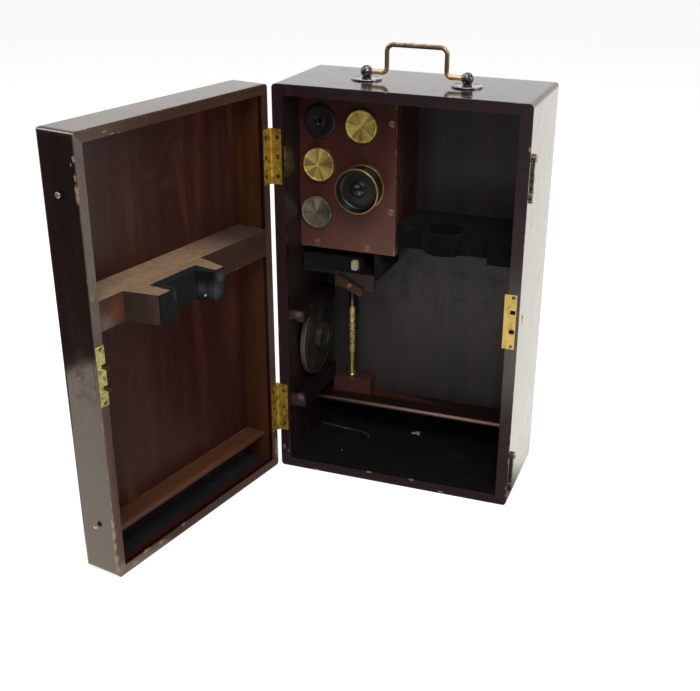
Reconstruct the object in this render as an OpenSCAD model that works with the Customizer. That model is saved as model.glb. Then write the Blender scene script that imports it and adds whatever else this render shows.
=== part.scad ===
// Upright instrument case in mahogany: a mitred carcass with a shallow tray-shaped door on two
// butt hinges, a bored accessory rack, a box lock with a link plate, and two side hooks.
// x runs from the hinge side, y from the rim towards the back, z up from the underside.

/* [Case] */
// Outer width
case_w = 236; // [230:1:280]
// Outer height
case_h = 385; // [379:1:440]
// Outer depth of the carcass without the door
case_d = 111; // [107:1:140]
// Thickness of the two side boards
side_t = 11; // [10:0.5:13]
// Thickness of the top and bottom boards
end_t = 10; // [8:0.5:12]
// Thickness of the back panel
back_t = 9; // [6:0.5:11]
// Rounding of the edges that run from front to back
corner_r = 4.5; // [1:0.5:6]
// Rounding of the edges round the back and round the door's front
face_r = 4; // [1:0.5:5]
// Rounding of the outer rim edges
rim_r = 0.8; // [0.4:0.1:1.2]

/* [Door] */
// Outer depth of the door
door_d = 38.5; // [36:0.5:50]
// Thickness of the door's four frame boards
door_frame_t = 9; // [9:0.5:11]
// Thickness of the door's panel
door_panel_t = 7; // [5:0.5:9]
// Gap between the two rims when the door is shut
rim_gap = 0.4; // [0.3:0.1:0.8]
// Gap under the door
floor_gap = 0.8; // [0.5:0.1:2]
// How far the door stands open, in degrees
door_open = 101.5; // [0:0.5:175]

/* [Hinges] */
// Length of a hinge
hinge_len = 50.8; // [44:0.1:60]
// From the top of the case down to the upper hinge
hinge_from_top = 39.8; // [30:0.1:60]
// From the bottom of the case up to the lower hinge
hinge_from_bottom = 41; // [30:0.1:60]
// How far a leaf reaches in from the outer side
leaf_w = 8.6; // [7.5:0.1:8.8]
// Thickness of a leaf, let in flush
leaf_t = 1.2; // [0.9:0.1:1.5]
// Outer diameter of the knuckles
knuckle_d = 4.2; // [3.8:0.1:4.6]
// Diameter of the hinge pin
hinge_pin_d = 2; // [1.6:0.1:2.4]
// Distance of the pin's axis outside the case's side
pin_outset = 1.9; // [1.6:0.1:2.6]
// Distance between the screws of a leaf
hinge_screw_pitch = 18; // [15:0.5:19]

/* [Lock] */
// Height of the middle of the lock
lock_z = 190.9; // [185:0.1:196]
// Length of the lock's case behind the face plate
lock_case_len = 43.4; // [41.2:0.1:50]
// Width of the lock, which stands a little proud of the inner wall
lock_w = 11.2; // [10.8:0.1:12]
// Wood left between the lock and the outer side
lock_cover = 2.8; // [2.4:0.1:3]
// Depth of the lock behind the rim
lock_depth = 22; // [20:0.5:26]
// Thickness of the lock's case
lock_wall = 0.8; // [0.6:0.1:0.9]
// Length of the face plate past each end of the lock's case
lock_ear = 4.4; // [4:0.1:5]
// Thickness of the face plate and of the link plate
face_plate_t = 1.5; // [1.2:0.1:1.8]
// Distance between the two staples
staple_pitch = 18.7; // [17:0.1:20]
// Distance of the staples' middle from the outer side
staple_inset = 6; // [5.8:0.1:6.2]
// Width of a staple across the rim
staple_w = 4; // [3.6:0.1:4.2]
// Thickness of a staple along the rim
staple_t = 3; // [2.6:0.1:3.4]
// How far a staple stands out of the link plate
staple_out = 8; // [7.4:0.1:8.4]
// Width of the link plate
link_w = 9.2; // [8.6:0.1:9.4]
// Travel of the lock's bolt
bolt_travel = 5; // [4.4:0.1:5.2]

/* [Hooks] */
// Distance from a hook's pivot to its stud
hook_reach = 32.4; // [30:0.1:36]
// Thickness of a hook
hook_t = 1.6; // [1.2:0.1:2]
// Distance of the hooks' pivots behind the rim
hook_back = 13.4; // [9:0.1:14]
// Height of the upper hook's pivot below the top
upper_hook_drop = 48; // [30:0.5:90]
// Height of the lower hook's pivot
lower_hook_z = 49; // [45:0.5:90]
// Diameter of the studs that the hooks catch
stud_d = 2.4; // [2:0.1:2.8]

/* [Handle] */
// Distance of the handle behind the rim
handle_back = 52; // [40:1:60]
// Distance between the two posts
post_pitch = 93.7; // [86:0.1:100]
// Diameter of the posts' eyes
post_ball_d = 11; // [10:0.1:12]
// Height of the handle's axis above the top
eye_h = 7; // [6.8:0.1:9]
// Diameter of the handle's wire
wire_d = 4.2; // [3.6:0.1:4.6]
// Width between the middles of the handle's legs
bail_w = 55.6; // [50:0.1:60]
// Rise of the grip above the handle's axis
bail_rise = 24.7; // [20:0.1:30]
// Diameter of the rosettes under the posts
rosette_d = 28; // [22:0.5:32]

/* [Rack] */
// Width of the accessory rack
rack_w = 95; // [93:0.5:98]
// Distance of the rack's face behind the rim
rack_y = 37; // [35:0.5:39]
// Height of the rack, which hangs from the underside of the top
rack_h = 149; // [149:0.5:153]
// Thickness of the rack's face board
rack_face_t = 9; // [7:0.5:11]
// Thickness of the rack's side and base boards
rack_board_t = 9.5; // [8:0.5:10]
// Diameter of the cans
can_d = 28.5; // [26:0.1:29]
// Length of a can behind the rack's face
can_len = 54; // [50:0.5:56]
// Thickness of the can caps
can_cap_t = 4; // [3:0.1:6]
// Diameter of the small eyepiece's tube
small_tube_d = 23.2; // [20:0.1:25]
// Diameter of the large eyepiece's tube
large_tube_d = 30; // [28:0.1:32]
// How far the large eyepiece stands out of the rack
large_out = 20; // [16:0.5:22]

/* [Tube supports] */
// Distance of the instrument tube's middle from the case's outer hinge side
tube_x = 150; // [147:0.5:152]
// Radius of the bracket's hole for the top of the tube
ring_hole_r = 19; // [18:0.5:20]
// Thickness of the cloth that lines the hole and the notch
cloth_t = 2; // [1:0.1:2.5]
// Underside of the tube bracket
bracket_z = 234.5; // [233:0.5:236]
// Height of the tube bracket
bracket_h = 20; // [17:0.5:22]
// Underside of the door's cross rail
rail_z = 228; // [224:0.5:232]
// Height of the door's cross rail
rail_h = 25.5; // [20:0.5:28]
// How far the clamp block reaches into the case
clamp_in = 31.5; // [28:0.5:32.5]

/* [Foot supports] */
// Underside of the heel bar at the back of the case
heel_z = 45; // [40:0.5:46]
// Thickness of the heel bar and of the toe bar
bar_t = 6; // [5:0.5:6.5]
// Depth of the heel bar
heel_d = 34; // [28:0.5:40]
// Underside of the toe bar in the door
toe_z = 33.2; // [28:0.1:40]
// Depth of the toe bar
toe_d = 20.7; // [16:0.1:26]
// Thickness of the lining cloth on the floors
lining_t = 1.5; // [1:0.1:2]

/* [Loose pieces] */
// Diameter of the round plate
plate_d = 79.6; // [74:0.1:80]
// Share of the free height between heel bar and slip shelf that lies below the plate's rails
plate_lift = 0.39; // [0.3:0.01:0.5]
// Width of the rails that hold the round plate
plate_rail_w = 15.5; // [14:0.5:18]
// Clear height between the knurled rod and the shelf, for lifting it out
rod_headroom = 32.5; // [25:0.5:50]
// Diameter of the knurled rod
rod_d = 6; // [5:0.1:7]
// Width of the slip box
slip_w = 57; // [45:0.5:60]
// Height of the slip box
slip_h = 13.5; // [11:0.5:15]
// Length of the turn button
button_len = 30; // [27:0.5:32]

/* [Hidden] */
$fn = 64;

// Colours as the object shows them
mahogany = "#5a2c1c";
mahogany_red = "#6e2f20";
mahogany_pale = "#8a5a40";
velvet_black = "#151314";
old_brass = "#8c7434";
lock_brass = "#c9b266";
can_brass = "#b98f3c";
dark_bronze = "#3a2c1e";
copper_brass = "#a8643c";
black_lacquer = "#1a1817";
steel_grey = "#5d6672";
bone = "#d8c8a2";
lens_blue = "#46525c";

// Cutting tools run this far past a face
cut = 1;
// Curved pieces that don't fit each other stay this far apart
air = 0.3;
// Running clearance round a pin
play = 0.05;

// Inner faces of the carcass
in_x0 = side_t;
in_x1 = case_w - side_t;
in_y1 = case_d - back_t;
in_z0 = end_t;
in_z1 = case_h - end_t;

// Faces of the door, in the place it has when shut
door_rim_y = -rim_gap;
door_in_y = door_rim_y - (door_d - door_panel_t);
door_x0 = door_frame_t;
door_x1 = case_w - door_frame_t;
door_z0 = floor_gap + door_frame_t;
door_z1 = case_h - door_frame_t;

// Hinge pin axis, half way across the gap between the rims
hinge_x = -pin_outset;
hinge_y = -rim_gap / 2;
hinge_z = [hinge_from_bottom, case_h - hinge_from_top - hinge_len];
knuckle_count = 5;
knuckle_len = hinge_len / knuckle_count;
knuckle_gap = 0.1;
leaf_x0 = hinge_x + knuckle_d / 2 + air + 0.1;
leaf_screw_x = (leaf_x0 + leaf_w) / 2;
small_screw_d = 2.2;
small_screw_head = 4.2;
small_screw_len = 11;

// Lock
lock_x1 = case_w - lock_cover;
lock_x0 = lock_x1 - lock_w;
lock_half = lock_case_len / 2;
lock_len = lock_case_len + 2 * lock_ear;
staple_x = case_w - staple_inset;
staple_z = [lock_z - staple_pitch / 2, lock_z + staple_pitch / 2];
staple_gap = 0.4;
lock_screw_z = lock_len / 2 - 0.6 * lock_ear;
plate_screw_d = 1.8;
plate_screw_head = 3.4;
eye_wall = 0.8;
eye_y0 = 2.6;
finger_t = 2.4;
finger_gap = 0.6;
finger_len = bolt_travel + 0.6;
lug_h = 1.5;
bolt_tail = 14;
bolt_back_y = staple_out + 1.4;
bolt_strip_t = 1.8;
key_y = bolt_back_y + bolt_strip_t + 4;
keyhole_plate_t = 0.8;
keyhole_r = 2.2;
keyhole_slot = 6;

// Hooks
hook_z = [lower_hook_z, case_h - upper_hook_drop];
hook_x0 = case_w + air;
hook_w = 4.4;
hook_eye_r = 4;
hook_end_r = 4;
hook_pivot_d = 2.6;
hook_pivot_len = 8;
hook_head_r = 3.3;
hook_head_t = 1.9;
hook_head_gap = 0.1;
stud_len = 6;
stud_head_over = 1;
stud_head_t = 1.2;
stud_head_gap = 0.4;
stud_y = hook_back - hook_reach;

// Handle
post_x = [(case_w - post_pitch) / 2, (case_w + post_pitch) / 2];
rosette_t = 1;
post_shank_d = 5;
post_shank_len = 8;
foot_bend_r = 4.5;
grip_bend_r = 6;

// Rack, with the bores placed from its lower left corner
rack_z = in_z1 - rack_h;
rack_x1 = in_x0 + rack_w;
rack_side_x = rack_x1 - rack_board_t;
rack_base_top = rack_z + rack_board_t;
rack_inner_y = rack_y + rack_face_t;
rack_guide_in = 43;
rack_guide_y = rack_y + rack_guide_in;
rack_guide_t = 6;
upper_can_x = 61.5;
upper_can_z = 120;
upper_can_at = [in_x0 + upper_can_x, rack_z + upper_can_z];
middle_can_x = 19.5;
middle_can_z = 81;
middle_can_at = [in_x0 + middle_can_x, rack_z + middle_can_z];
lower_can_x = 17;
lower_can_z = 35.5;
lower_can_at = [in_x0 + lower_can_x, rack_z + lower_can_z];
small_x = 21;
small_z = 121.5;
small_at = [in_x0 + small_x, rack_z + small_z];
large_x = 63;
large_z = 64;
large_at = [in_x0 + large_x, rack_z + large_z];
can_sites = [upper_can_at, middle_can_at, lower_can_at];
can_wall = 0.8;
can_base_t = 1.2;
cap_gap = 0.1;
cap_neck = 6;
small_face_d = 30;
small_out = 3.5;
small_len = 40;
large_ring_d = 43;
large_flange_d = 40;
large_wall_d = 37;
large_len = 35;
tube_wall = 1.2;
lens_d = 11;
lens_t = 2;
lens_back = 1;
large_dish = 6;
rack_screw_d = 3;
rack_screw_head = 6.4;
rack_screw_len = 22;
high_screw_z = 124;
low_screw_z = 42;
left_screw_x = 17;
right_screw_x = 67;
rack_screw_at = [
    [rack_x1 - rack_board_t / 2, rack_z + high_screw_z],
    [rack_x1 - rack_board_t / 2, rack_z + low_screw_z],
    [in_x0 + left_screw_x, rack_z + rack_board_t / 2],
    [in_x0 + right_screw_x, rack_z + rack_board_t / 2]
];

// Tube bracket and clamp block
bracket_left_y = 41;
bracket_right_y = 38;
bracket_block_y = 28;
bracket_block_in = 47;
bracket_block_x = tube_x + bracket_block_in;
bracket_block_drop = 2.5;
ring_shift = 2;
ring_in = 8;
ring_wall = 2.5;
ring_at = [tube_x + ring_shift, bracket_left_y + ring_in];
clamp_shift = 2;
clamp_mid_x = tube_x + clamp_shift;
clamp_root_half = 48;
clamp_tip_half = 40.7;
clamp_notch_y = 16;
clamp_notch_half = 18.2;
clamp_mouth_half = 24;

// Slip box compartment under the rack
slip_shelf_t = 4;
slip_drop = 23;
slip_floor_z = rack_z - slip_drop;
slip_under_z = slip_floor_z - slip_shelf_t;
slip_apron_y = 38;
slip_apron_h = 15;
slip_apron_z = slip_floor_z - slip_apron_h;
slip_shelf_w = 74;
slip_x1 = in_x0 + slip_shelf_w;
slip_apron_w = 40;
slip_apron_x = slip_x1 - slip_apron_w;
slip_hanger_t = 4;
slip_side_gap = 1.5;
slip_box_x = in_x0 + slip_side_gap;
slip_front_gap = 0.5;
slip_box_y = slip_apron_y + slip_front_gap;
slip_back_gap = 4;
slip_box_d = in_y1 - slip_back_gap - slip_box_y;
knob_w = 6.4;
knob_h = 9.6;
knob_t = 4;
knob_stem_d = 2;
knob_stem_len = 4.8;
knob_at = [slip_box_x + slip_w - knob_w / 2, slip_floor_z + slip_h * 0.7];
button_x = 50.5;
button_drop = 12;
button_at = [in_x0 + button_x, slip_floor_z - button_drop];
button_w = 8;
button_t = 4;
button_tilt = -27;
button_screw_d = 2.6;

// Round plate and its rails
plate_groove = 1.8;
plate_inset = 2;
plate_x = in_x0 + plate_inset;
plate_t = 6;
plate_back_gap = 0.7;
plate_y = in_y1 - plate_d / 2 - plate_back_gap;
plate_side_gap = 0.5;
plate_rail_y = 2.5;
upper_rail_h = 11;
lower_rail_h = 15;
heel_top = heel_z + bar_t;
plate_stack_h = lower_rail_h + plate_d - 2 * plate_groove + upper_rail_h;
plate_free_h = slip_under_z - heel_top - plate_stack_h;
plate_z0 = heel_top + plate_lift * plate_free_h + lower_rail_h - plate_groove;
plate_z = plate_z0 + plate_d / 2;
plate_z1 = plate_z0 + plate_d;
boss_d = 29;
boss_t = 6;

// Knurled rod and its block
rod_block_h = 16.5;
rod_block_from = 13;
rod_block_w = 41;
rod_block_x = [in_x0 + rod_block_from, in_x0 + rod_block_from + rod_block_w];
rod_block_d = 15.5;
rail_block_gap = 0.5;
plate_rail_y1 = in_y1 - rod_block_d - rail_block_gap;
rod_x = 31;
rod_at = [in_x0 + rod_x, in_y1 - rod_block_d / 2];
rod_seat_z = heel_top + rod_block_h;
rod_h = slip_under_z - rod_headroom - rod_seat_z;
rod_spigot_d = 4.8;
rod_spigot_len = 12;

// Places a piece given in carcass coordinates into the frame whose origin is the middle of the
// underside
module from_corner() {
    translate([-case_w / 2, -case_d / 2, 0]) children();
}

// Places a piece given where it lies on the shut door
module on_door() {
    from_corner()
        translate([hinge_x, hinge_y, 0])
            rotate([0, 0, -door_open])
                translate([-hinge_x, -hinge_y, 0]) children();
}

// Box between two opposite corners
module span(low, high) {
    translate(low) cube(high - low);
}

// Outline in x and z, carried along y
module along_y(y0, y1) {
    translate([0, y1, 0]) rotate([90, 0, 0]) linear_extrude(y1 - y0) children();
}

// Outline in y and z, carried along x
module along_x(x0, x1) {
    translate([x0, 0, 0]) rotate([90, 0, 90]) linear_extrude(x1 - x0) children();
}

// Outline in x and y, carried along z
module along_z(z0, z1) {
    translate([0, 0, z0]) linear_extrude(z1 - z0) children();
}

// Waste outside a rounded corner, for a corner at the origin of the first quadrant
module corner_waste(r) {
    difference() {
        translate([-cut, -cut]) square(r + cut);
        translate([r, r]) circle(r);
    }
}

// Waste along all the rounded outer edges of a box open at y = 0
module arris_waste(w, d, h) {
    for (i = [0, 1], j = [0, 1])
        along_y(-cut, d + cut)
            translate([i * w, j * h]) mirror([i, 0]) mirror([0, j]) corner_waste(corner_r);
    for (i = [0, 1]) {
        along_z(-cut, h + cut) translate([i * w, d]) mirror([i, 0]) mirror([0, 1]) corner_waste(face_r);
        along_z(-cut, h + cut) translate([i * w, 0]) mirror([i, 0]) corner_waste(rim_r);
        along_x(-cut, w + cut) translate([d, i * h]) mirror([1, 0]) mirror([0, i]) corner_waste(face_r);
        along_x(-cut, w + cut) translate([0, i * h]) mirror([0, i]) corner_waste(rim_r);
    }
}

// Front outline of one of four mitred boards, side boards tx thick and end boards tz thick
function board_outline(side, w, h, tx, tz) =
    side == "top" ? [[0, h], [w, h], [w - tx, h - tz], [tx, h - tz]] :
    side == "bottom" ? [[0, 0], [tx, tz], [w - tx, tz], [w, 0]] :
    side == "left" ? [[0, 0], [0, h], [tx, h - tz], [tx, tz]] :
    [[w, 0], [w - tx, tz], [w - tx, h - tz], [w, h]];

// One mitred board of a frame open at y = 0
module frame_board(side, w, d, h, tx, tz) {
    difference() {
        along_y(0, d) polygon(board_outline(side, w, h, tx, tz));
        arris_waste(w, d, h);
    }
}

module case_board(side) {
    frame_board(side, case_w, case_d, case_h, side_t, end_t);
}

module door_board(side) {
    translate([0, door_rim_y, floor_gap])
        mirror([0, 1, 0])
            frame_board(side, case_w, door_d, case_h - floor_gap, door_frame_t, door_frame_t);
}

// Countersunk screw with its head's face at z = 0, pointing along +z
module wood_screw(d, head_d, len) {
    difference() {
        rotate_extrude()
            polygon([
                [0, 0], [head_d / 2, 0], [d / 2, (head_d - d) / 2],
                [d / 2, len - d], [0, len]
            ]);
        span([-head_d, -head_d / 14, -cut], [head_d, head_d / 14, head_d / 9]);
    }
}

// Clear hole for such a screw
module screw_hole(d, head_d, len) {
    rotate_extrude()
        polygon([
            [0, -cut], [head_d / 2 + play, -cut], [head_d / 2 + play, 0],
            [d / 2 + play, (head_d - d) / 2], [d / 2 + play, len + play], [0, len + play]
        ]);
}

module leaf_screw() { wood_screw(small_screw_d, small_screw_head, small_screw_len); }

module leaf_screw_hole() { screw_hole(small_screw_d, small_screw_head, small_screw_len); }

module plate_screw() { wood_screw(plate_screw_d, plate_screw_head, small_screw_len); }

module plate_screw_hole() { screw_hole(plate_screw_d, plate_screw_head, small_screw_len); }

// Puts what it holds at each place given in x and z, on the plane at y
module at_each(places, y) {
    for (p = places) translate([p[0], y, p[1]]) children();
}

// Turns what points along +z to point along +y or -y
module facing_back() {
    rotate([-90, 0, 0]) children();
}

module facing_front() {
    rotate([90, 0, 0]) children();
}

// Places of the six screws of the hinge leaves, in x and z
hinge_screws = [
    for (z = hinge_z, k = [-1, 0, 1])
        [leaf_screw_x, z + hinge_len / 2 + k * hinge_screw_pitch]
];
plate_screws = [for (s = [-1, 1]) [staple_x, lock_z + s * lock_screw_z]];

// Seats for the hinge leaves in a rim, between the depths y0 and y1, with room for the knuckles
module hinge_seats(y0, y1) {
    for (z = hinge_z) {
        span([-pin_outset - cut, y0, z], [leaf_w, y1, z + hinge_len]);
        translate([hinge_x, hinge_y, z - air])
            cylinder(d = knuckle_d + 2 * air, h = hinge_len + 2 * air);
    }
}

// The two leaves of one side: own lists the knuckles that the leaf carries
module leaves(own, y0, pin_hole_d) {
    for (z = hinge_z)
        difference() {
            union() {
                span([leaf_x0, y0, z], [leaf_w, y0 + leaf_t, z + hinge_len]);
                for (k = own) {
                    z0 = z + k * knuckle_len + knuckle_gap / 2;
                    translate([hinge_x, hinge_y, z0])
                        cylinder(d = knuckle_d, h = knuckle_len - knuckle_gap);
                    span([hinge_x, y0, z0], [leaf_x0, y0 + leaf_t, z0 + knuckle_len - knuckle_gap]);
                }
            }
            translate([hinge_x, hinge_y, z - cut]) cylinder(d = pin_hole_d, h = hinge_len + 2 * cut);
        }
}

// Carcass

module case_top() {
    color(mahogany) from_corner() difference() {
        case_board("top");
        for (x = post_x)
            translate([x, handle_back, case_h - post_shank_len])
                cylinder(d = post_shank_d + 2 * play, h = post_shank_len + cut);
    }
}

module case_bottom() {
    color(mahogany) from_corner() case_board("bottom");
}

module case_left_side() {
    color(mahogany) from_corner() difference() {
        case_board("left");
        hinge_seats(-cut, leaf_t);
        at_each(hinge_screws, 0) facing_back() leaf_screw_hole();
    }
}

module case_right_side() {
    color(mahogany) from_corner() difference() {
        case_board("right");
        span([in_x1 - cut, -cut, lock_z - lock_len / 2], [lock_x1, face_plate_t, lock_z + lock_len / 2]);
        span([in_x1 - cut, 0, lock_z - lock_half], [lock_x1, lock_depth, lock_z + lock_half]);
        at_each(plate_screws, 0) facing_back() plate_screw_hole();
        for (z = hook_z)
            translate([case_w - hook_pivot_len, hook_back, z]) rotate([0, 90, 0])
                cylinder(d = hook_pivot_d + 2 * play, h = hook_pivot_len + cut);
        along_x(lock_x1 - cut, case_w + cut) keyhole(0);
        along_x(case_w - keyhole_plate_t, case_w + cut) keyhole_plate_outline();
    }
}

module case_back() {
    color(mahogany) from_corner() span([in_x0, in_y1, in_z0], [in_x1, case_d, in_z1]);
}

// Keyhole and its plate, in y and z

module keyhole(grow) {
    translate([key_y, lock_z]) circle(keyhole_r + grow);
    translate([key_y - keyhole_r / 2 - grow, lock_z - keyhole_slot - grow])
        square([keyhole_r + 2 * grow, keyhole_slot]);
}

module keyhole_plate_outline() {
    translate([key_y, lock_z]) circle(keyhole_r + 2.2);
    translate([key_y - keyhole_r, lock_z - keyhole_slot - 2]) square([2 * keyhole_r, keyhole_slot]);
}

module keyhole_plate() {
    color(old_brass) from_corner()
        along_x(case_w - keyhole_plate_t, case_w)
            difference() {
                keyhole_plate_outline();
                keyhole(0);
            }
}

// Lining of the floor and of the wall below the heel bar

module floor_lining() {
    color(velvet_black) from_corner() along_x(in_x0, in_x1)
        polygon([
            [cut, in_z0], [in_y1, in_z0], [in_y1, heel_z],
            [in_y1 - lining_t, heel_z], [in_y1 - lining_t, in_z0 + lining_t], [cut, in_z0 + lining_t]
        ]);
}

// Bar with one rounded long edge, from the wall at y = 0 out to y = d
module rounded_bar(d, t) {
    square([d - t / 2, t]);
    translate([d - t / 2, t / 2]) circle(t / 2);
}

module heel_bar() {
    color(mahogany) from_corner() along_x(in_x0, in_x1)
        translate([in_y1, heel_z]) mirror([1, 0]) rounded_bar(heel_d, bar_t);
}

// Tube bracket

module bracket_plan() {
    translate([rack_x1, bracket_left_y])
        square([ring_at[0] - rack_x1, in_y1 - bracket_left_y]);
    translate([ring_at[0], bracket_right_y])
        square([bracket_block_x - ring_at[0], in_y1 - bracket_right_y]);
    translate(ring_at) circle(ring_hole_r + ring_wall, $fn = 96);
}

module tube_bracket() {
    color(velvet_black) from_corner() {
        along_z(bracket_z, bracket_z + bracket_h) difference() {
            bracket_plan();
            translate(ring_at) circle(ring_hole_r, $fn = 96);
        }
        span([bracket_block_x, bracket_block_y, bracket_z - bracket_block_drop],
            [in_x1, in_y1, bracket_z + bracket_h]);
    }
}

module bracket_lining() {
    color(velvet_black) from_corner() along_z(bracket_z, bracket_z + bracket_h) translate(ring_at)
        difference() {
            circle(ring_hole_r, $fn = 96);
            circle(ring_hole_r - cloth_t, $fn = 96);
        }
}

// Accessory rack

module rack_front() {
    color(mahogany_red) from_corner() difference() {
        span([in_x0, rack_y, rack_z], [rack_x1, rack_inner_y, in_z1]);
        for (p = can_sites) rack_bore(p, can_d);
        rack_bore(small_at, small_tube_d);
        rack_bore(large_at, large_tube_d);
        at_each(rack_screw_at, rack_y) facing_back()
            screw_hole(rack_screw_d, rack_screw_head, rack_screw_len);
    }
}

// Bore through the rack's face board and the guide behind it
module rack_bore(at, d) {
    translate([at[0], rack_y - cut, at[1]]) facing_back()
        cylinder(d = d + 2 * air, h = rack_guide_y + rack_guide_t - rack_y + 2 * cut);
}

module rack_side() {
    color(mahogany_red) from_corner() difference() {
        span([rack_side_x, rack_inner_y, rack_z], [rack_x1, in_y1, in_z1]);
        at_each(rack_screw_at, rack_y) facing_back()
            screw_hole(rack_screw_d, rack_screw_head, rack_screw_len);
    }
}

module rack_base() {
    color(mahogany_red) from_corner() difference() {
        span([in_x0, rack_inner_y, rack_z], [rack_side_x, in_y1, rack_base_top]);
        at_each(rack_screw_at, rack_y) facing_back()
            screw_hole(rack_screw_d, rack_screw_head, rack_screw_len);
    }
}

module rack_rear_guide() {
    color(mahogany_red) from_corner() difference() {
        span([in_x0, rack_guide_y, rack_base_top], [rack_side_x, rack_guide_y + rack_guide_t, in_z1]);
        for (p = can_sites) rack_bore(p, can_d);
    }
}

module rack_screws() {
    color(old_brass) from_corner()
        at_each(rack_screw_at, rack_y) facing_back()
            wood_screw(rack_screw_d, rack_screw_head, rack_screw_len);
}

// Can behind the rack's face, open at the front, and its cap

module can(at) {
    r = can_d / 2;
    color(can_brass) from_corner() translate([at[0], rack_y - cap_gap, at[1]]) facing_back()
        rotate_extrude()
            polygon([
                [r, 0], [r, can_len - 1], [r - 1, can_len], [0, can_len],
                [0, can_len - can_base_t], [r - can_wall, can_len - can_base_t], [r - can_wall, 0]
            ]);
}

module can_cap(at, cap_d) {
    r = cap_d / 2;
    neck_r = can_d / 2 - can_wall - play;
    color(can_brass) from_corner() translate([at[0], rack_y - cap_gap, at[1]]) facing_back()
        rotate_extrude()
            polygon([
                [0, -can_cap_t + 0.4], [r - 2, -can_cap_t + 0.4], [r - 1.8, -can_cap_t],
                [r - 0.6, -can_cap_t], [r, -can_cap_t + 0.6], [r, 0], [neck_r, 0],
                [neck_r, cap_neck], [neck_r - can_wall, cap_neck], [neck_r - can_wall, -can_cap_t / 2],
                [0, -can_cap_t / 2]
            ]);
}

module upper_can() { can(upper_can_at); }

module upper_can_cap() { can_cap(upper_can_at, can_d + 2); }

module middle_can() { can(middle_can_at); }

module middle_can_cap() { can_cap(middle_can_at, can_d + 2.5); }

module lower_can() { can(lower_can_at); }

module lower_can_cap() { can_cap(lower_can_at, can_d + 2.5); }

// Eyepieces: a tube behind the rack's face and a wider head in front, with a seat for the lens

module small_eyepiece() {
    r = small_face_d / 2;
    tube_r = small_tube_d / 2;
    color(black_lacquer) from_corner() translate([small_at[0], rack_y - cap_gap, small_at[1]]) facing_back()
        rotate_extrude()
            polygon([
                [lens_d / 2, -small_out + 0.6], [r - 2.4, -small_out], [r - 0.8, -small_out],
                [r, -small_out + 0.8], [r, 0], [tube_r, 0], [tube_r, small_len],
                [tube_r - tube_wall, small_len], [tube_r - tube_wall, 2],
                [lens_d / 2 - 1, 2], [lens_d / 2 - 1, lens_back], [lens_d / 2, lens_back]
            ]);
}

module small_eyepiece_lens() {
    color(lens_blue) from_corner()
        translate([small_at[0], rack_y - cap_gap + lens_back - lens_t, small_at[1]]) facing_back()
            cylinder(d = lens_d - 2 * play, h = lens_t);
}

module large_eyepiece() {
    ring_r = large_ring_d / 2;
    wall_r = large_wall_d / 2;
    flange_r = large_flange_d / 2;
    tube_r = large_tube_d / 2;
    color(black_lacquer) from_corner() translate([large_at[0], rack_y - cap_gap, large_at[1]]) facing_back()
        rotate_extrude()
            translate([0, -large_out]) polygon([
                [lens_d / 2, large_dish], [ring_r - 3, 0.5], [ring_r - 2.6, 0], [ring_r - 0.8, 0],
                [ring_r, 0.8], [ring_r, 2.6], [wall_r, 3.4], [wall_r, large_out - 2.4],
                [flange_r, large_out - 2.4], [flange_r, large_out], [tube_r, large_out],
                [tube_r, large_out + large_len], [tube_r - tube_wall, large_out + large_len],
                [tube_r - tube_wall, 2 * large_dish], [lens_d / 2 - 1, 2 * large_dish],
                [lens_d / 2 - 1, large_dish + lens_t], [lens_d / 2, large_dish + lens_t]
            ]);
}

module large_eyepiece_lens() {
    color(lens_blue) from_corner()
        translate([large_at[0], rack_y - cap_gap + large_dish - large_out, large_at[1]]) facing_back()
            cylinder(d = lens_d - 2 * play, h = lens_t);
}

// Rails on the hinge side with a groove each for the round plate's rim

module plate_rails() {
    color(mahogany_pale) from_corner() difference() {
        union() {
            span([in_x0, plate_rail_y, plate_z1 - plate_groove],
                [in_x0 + plate_rail_w, plate_rail_y1, plate_z1 - plate_groove + upper_rail_h]);
            span([in_x0, plate_rail_y, plate_z0 + plate_groove - lower_rail_h],
                [in_x0 + plate_rail_w, plate_rail_y1, plate_z0 + plate_groove]);
        }
        span([plate_x - plate_side_gap, 0, plate_z0 - air],
            [plate_x + plate_t + plate_side_gap, in_y1 + cut, plate_z1 + air]);
    }
}

module round_plate() {
    r = plate_d / 2;
    color(dark_bronze) from_corner() translate([plate_x, plate_y, plate_z]) rotate([0, 90, 0])
        rotate_extrude($fn = 96)
            polygon([
                [0, 0], [r - 1, 0], [r, 1], [r, plate_t - 1], [r - 1, plate_t], [r - 5, plate_t],
                [r - 6, plate_t - 1.6], [boss_d / 2 + 1, plate_t - 1.6], [boss_d / 2, plate_t - 0.6],
                [boss_d / 2, plate_t + boss_t - 1.4], [boss_d / 2 - 1.4, plate_t + boss_t],
                [4, plate_t + boss_t], [4, plate_t + boss_t - 3], [0, plate_t + boss_t - 3]
            ]);
}

// Block on the heel bar that holds the knurled rod upright

module rod_block() {
    color(mahogany) from_corner() difference() {
        span([rod_block_x[0], in_y1 - rod_block_d, heel_top], [rod_block_x[1], in_y1, rod_seat_z]);
        translate([rod_at[0], rod_at[1], rod_seat_z - rod_spigot_len - cut])
            cylinder(d = rod_spigot_d + 2 * air, h = rod_spigot_len + 2 * cut);
    }
}

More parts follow.
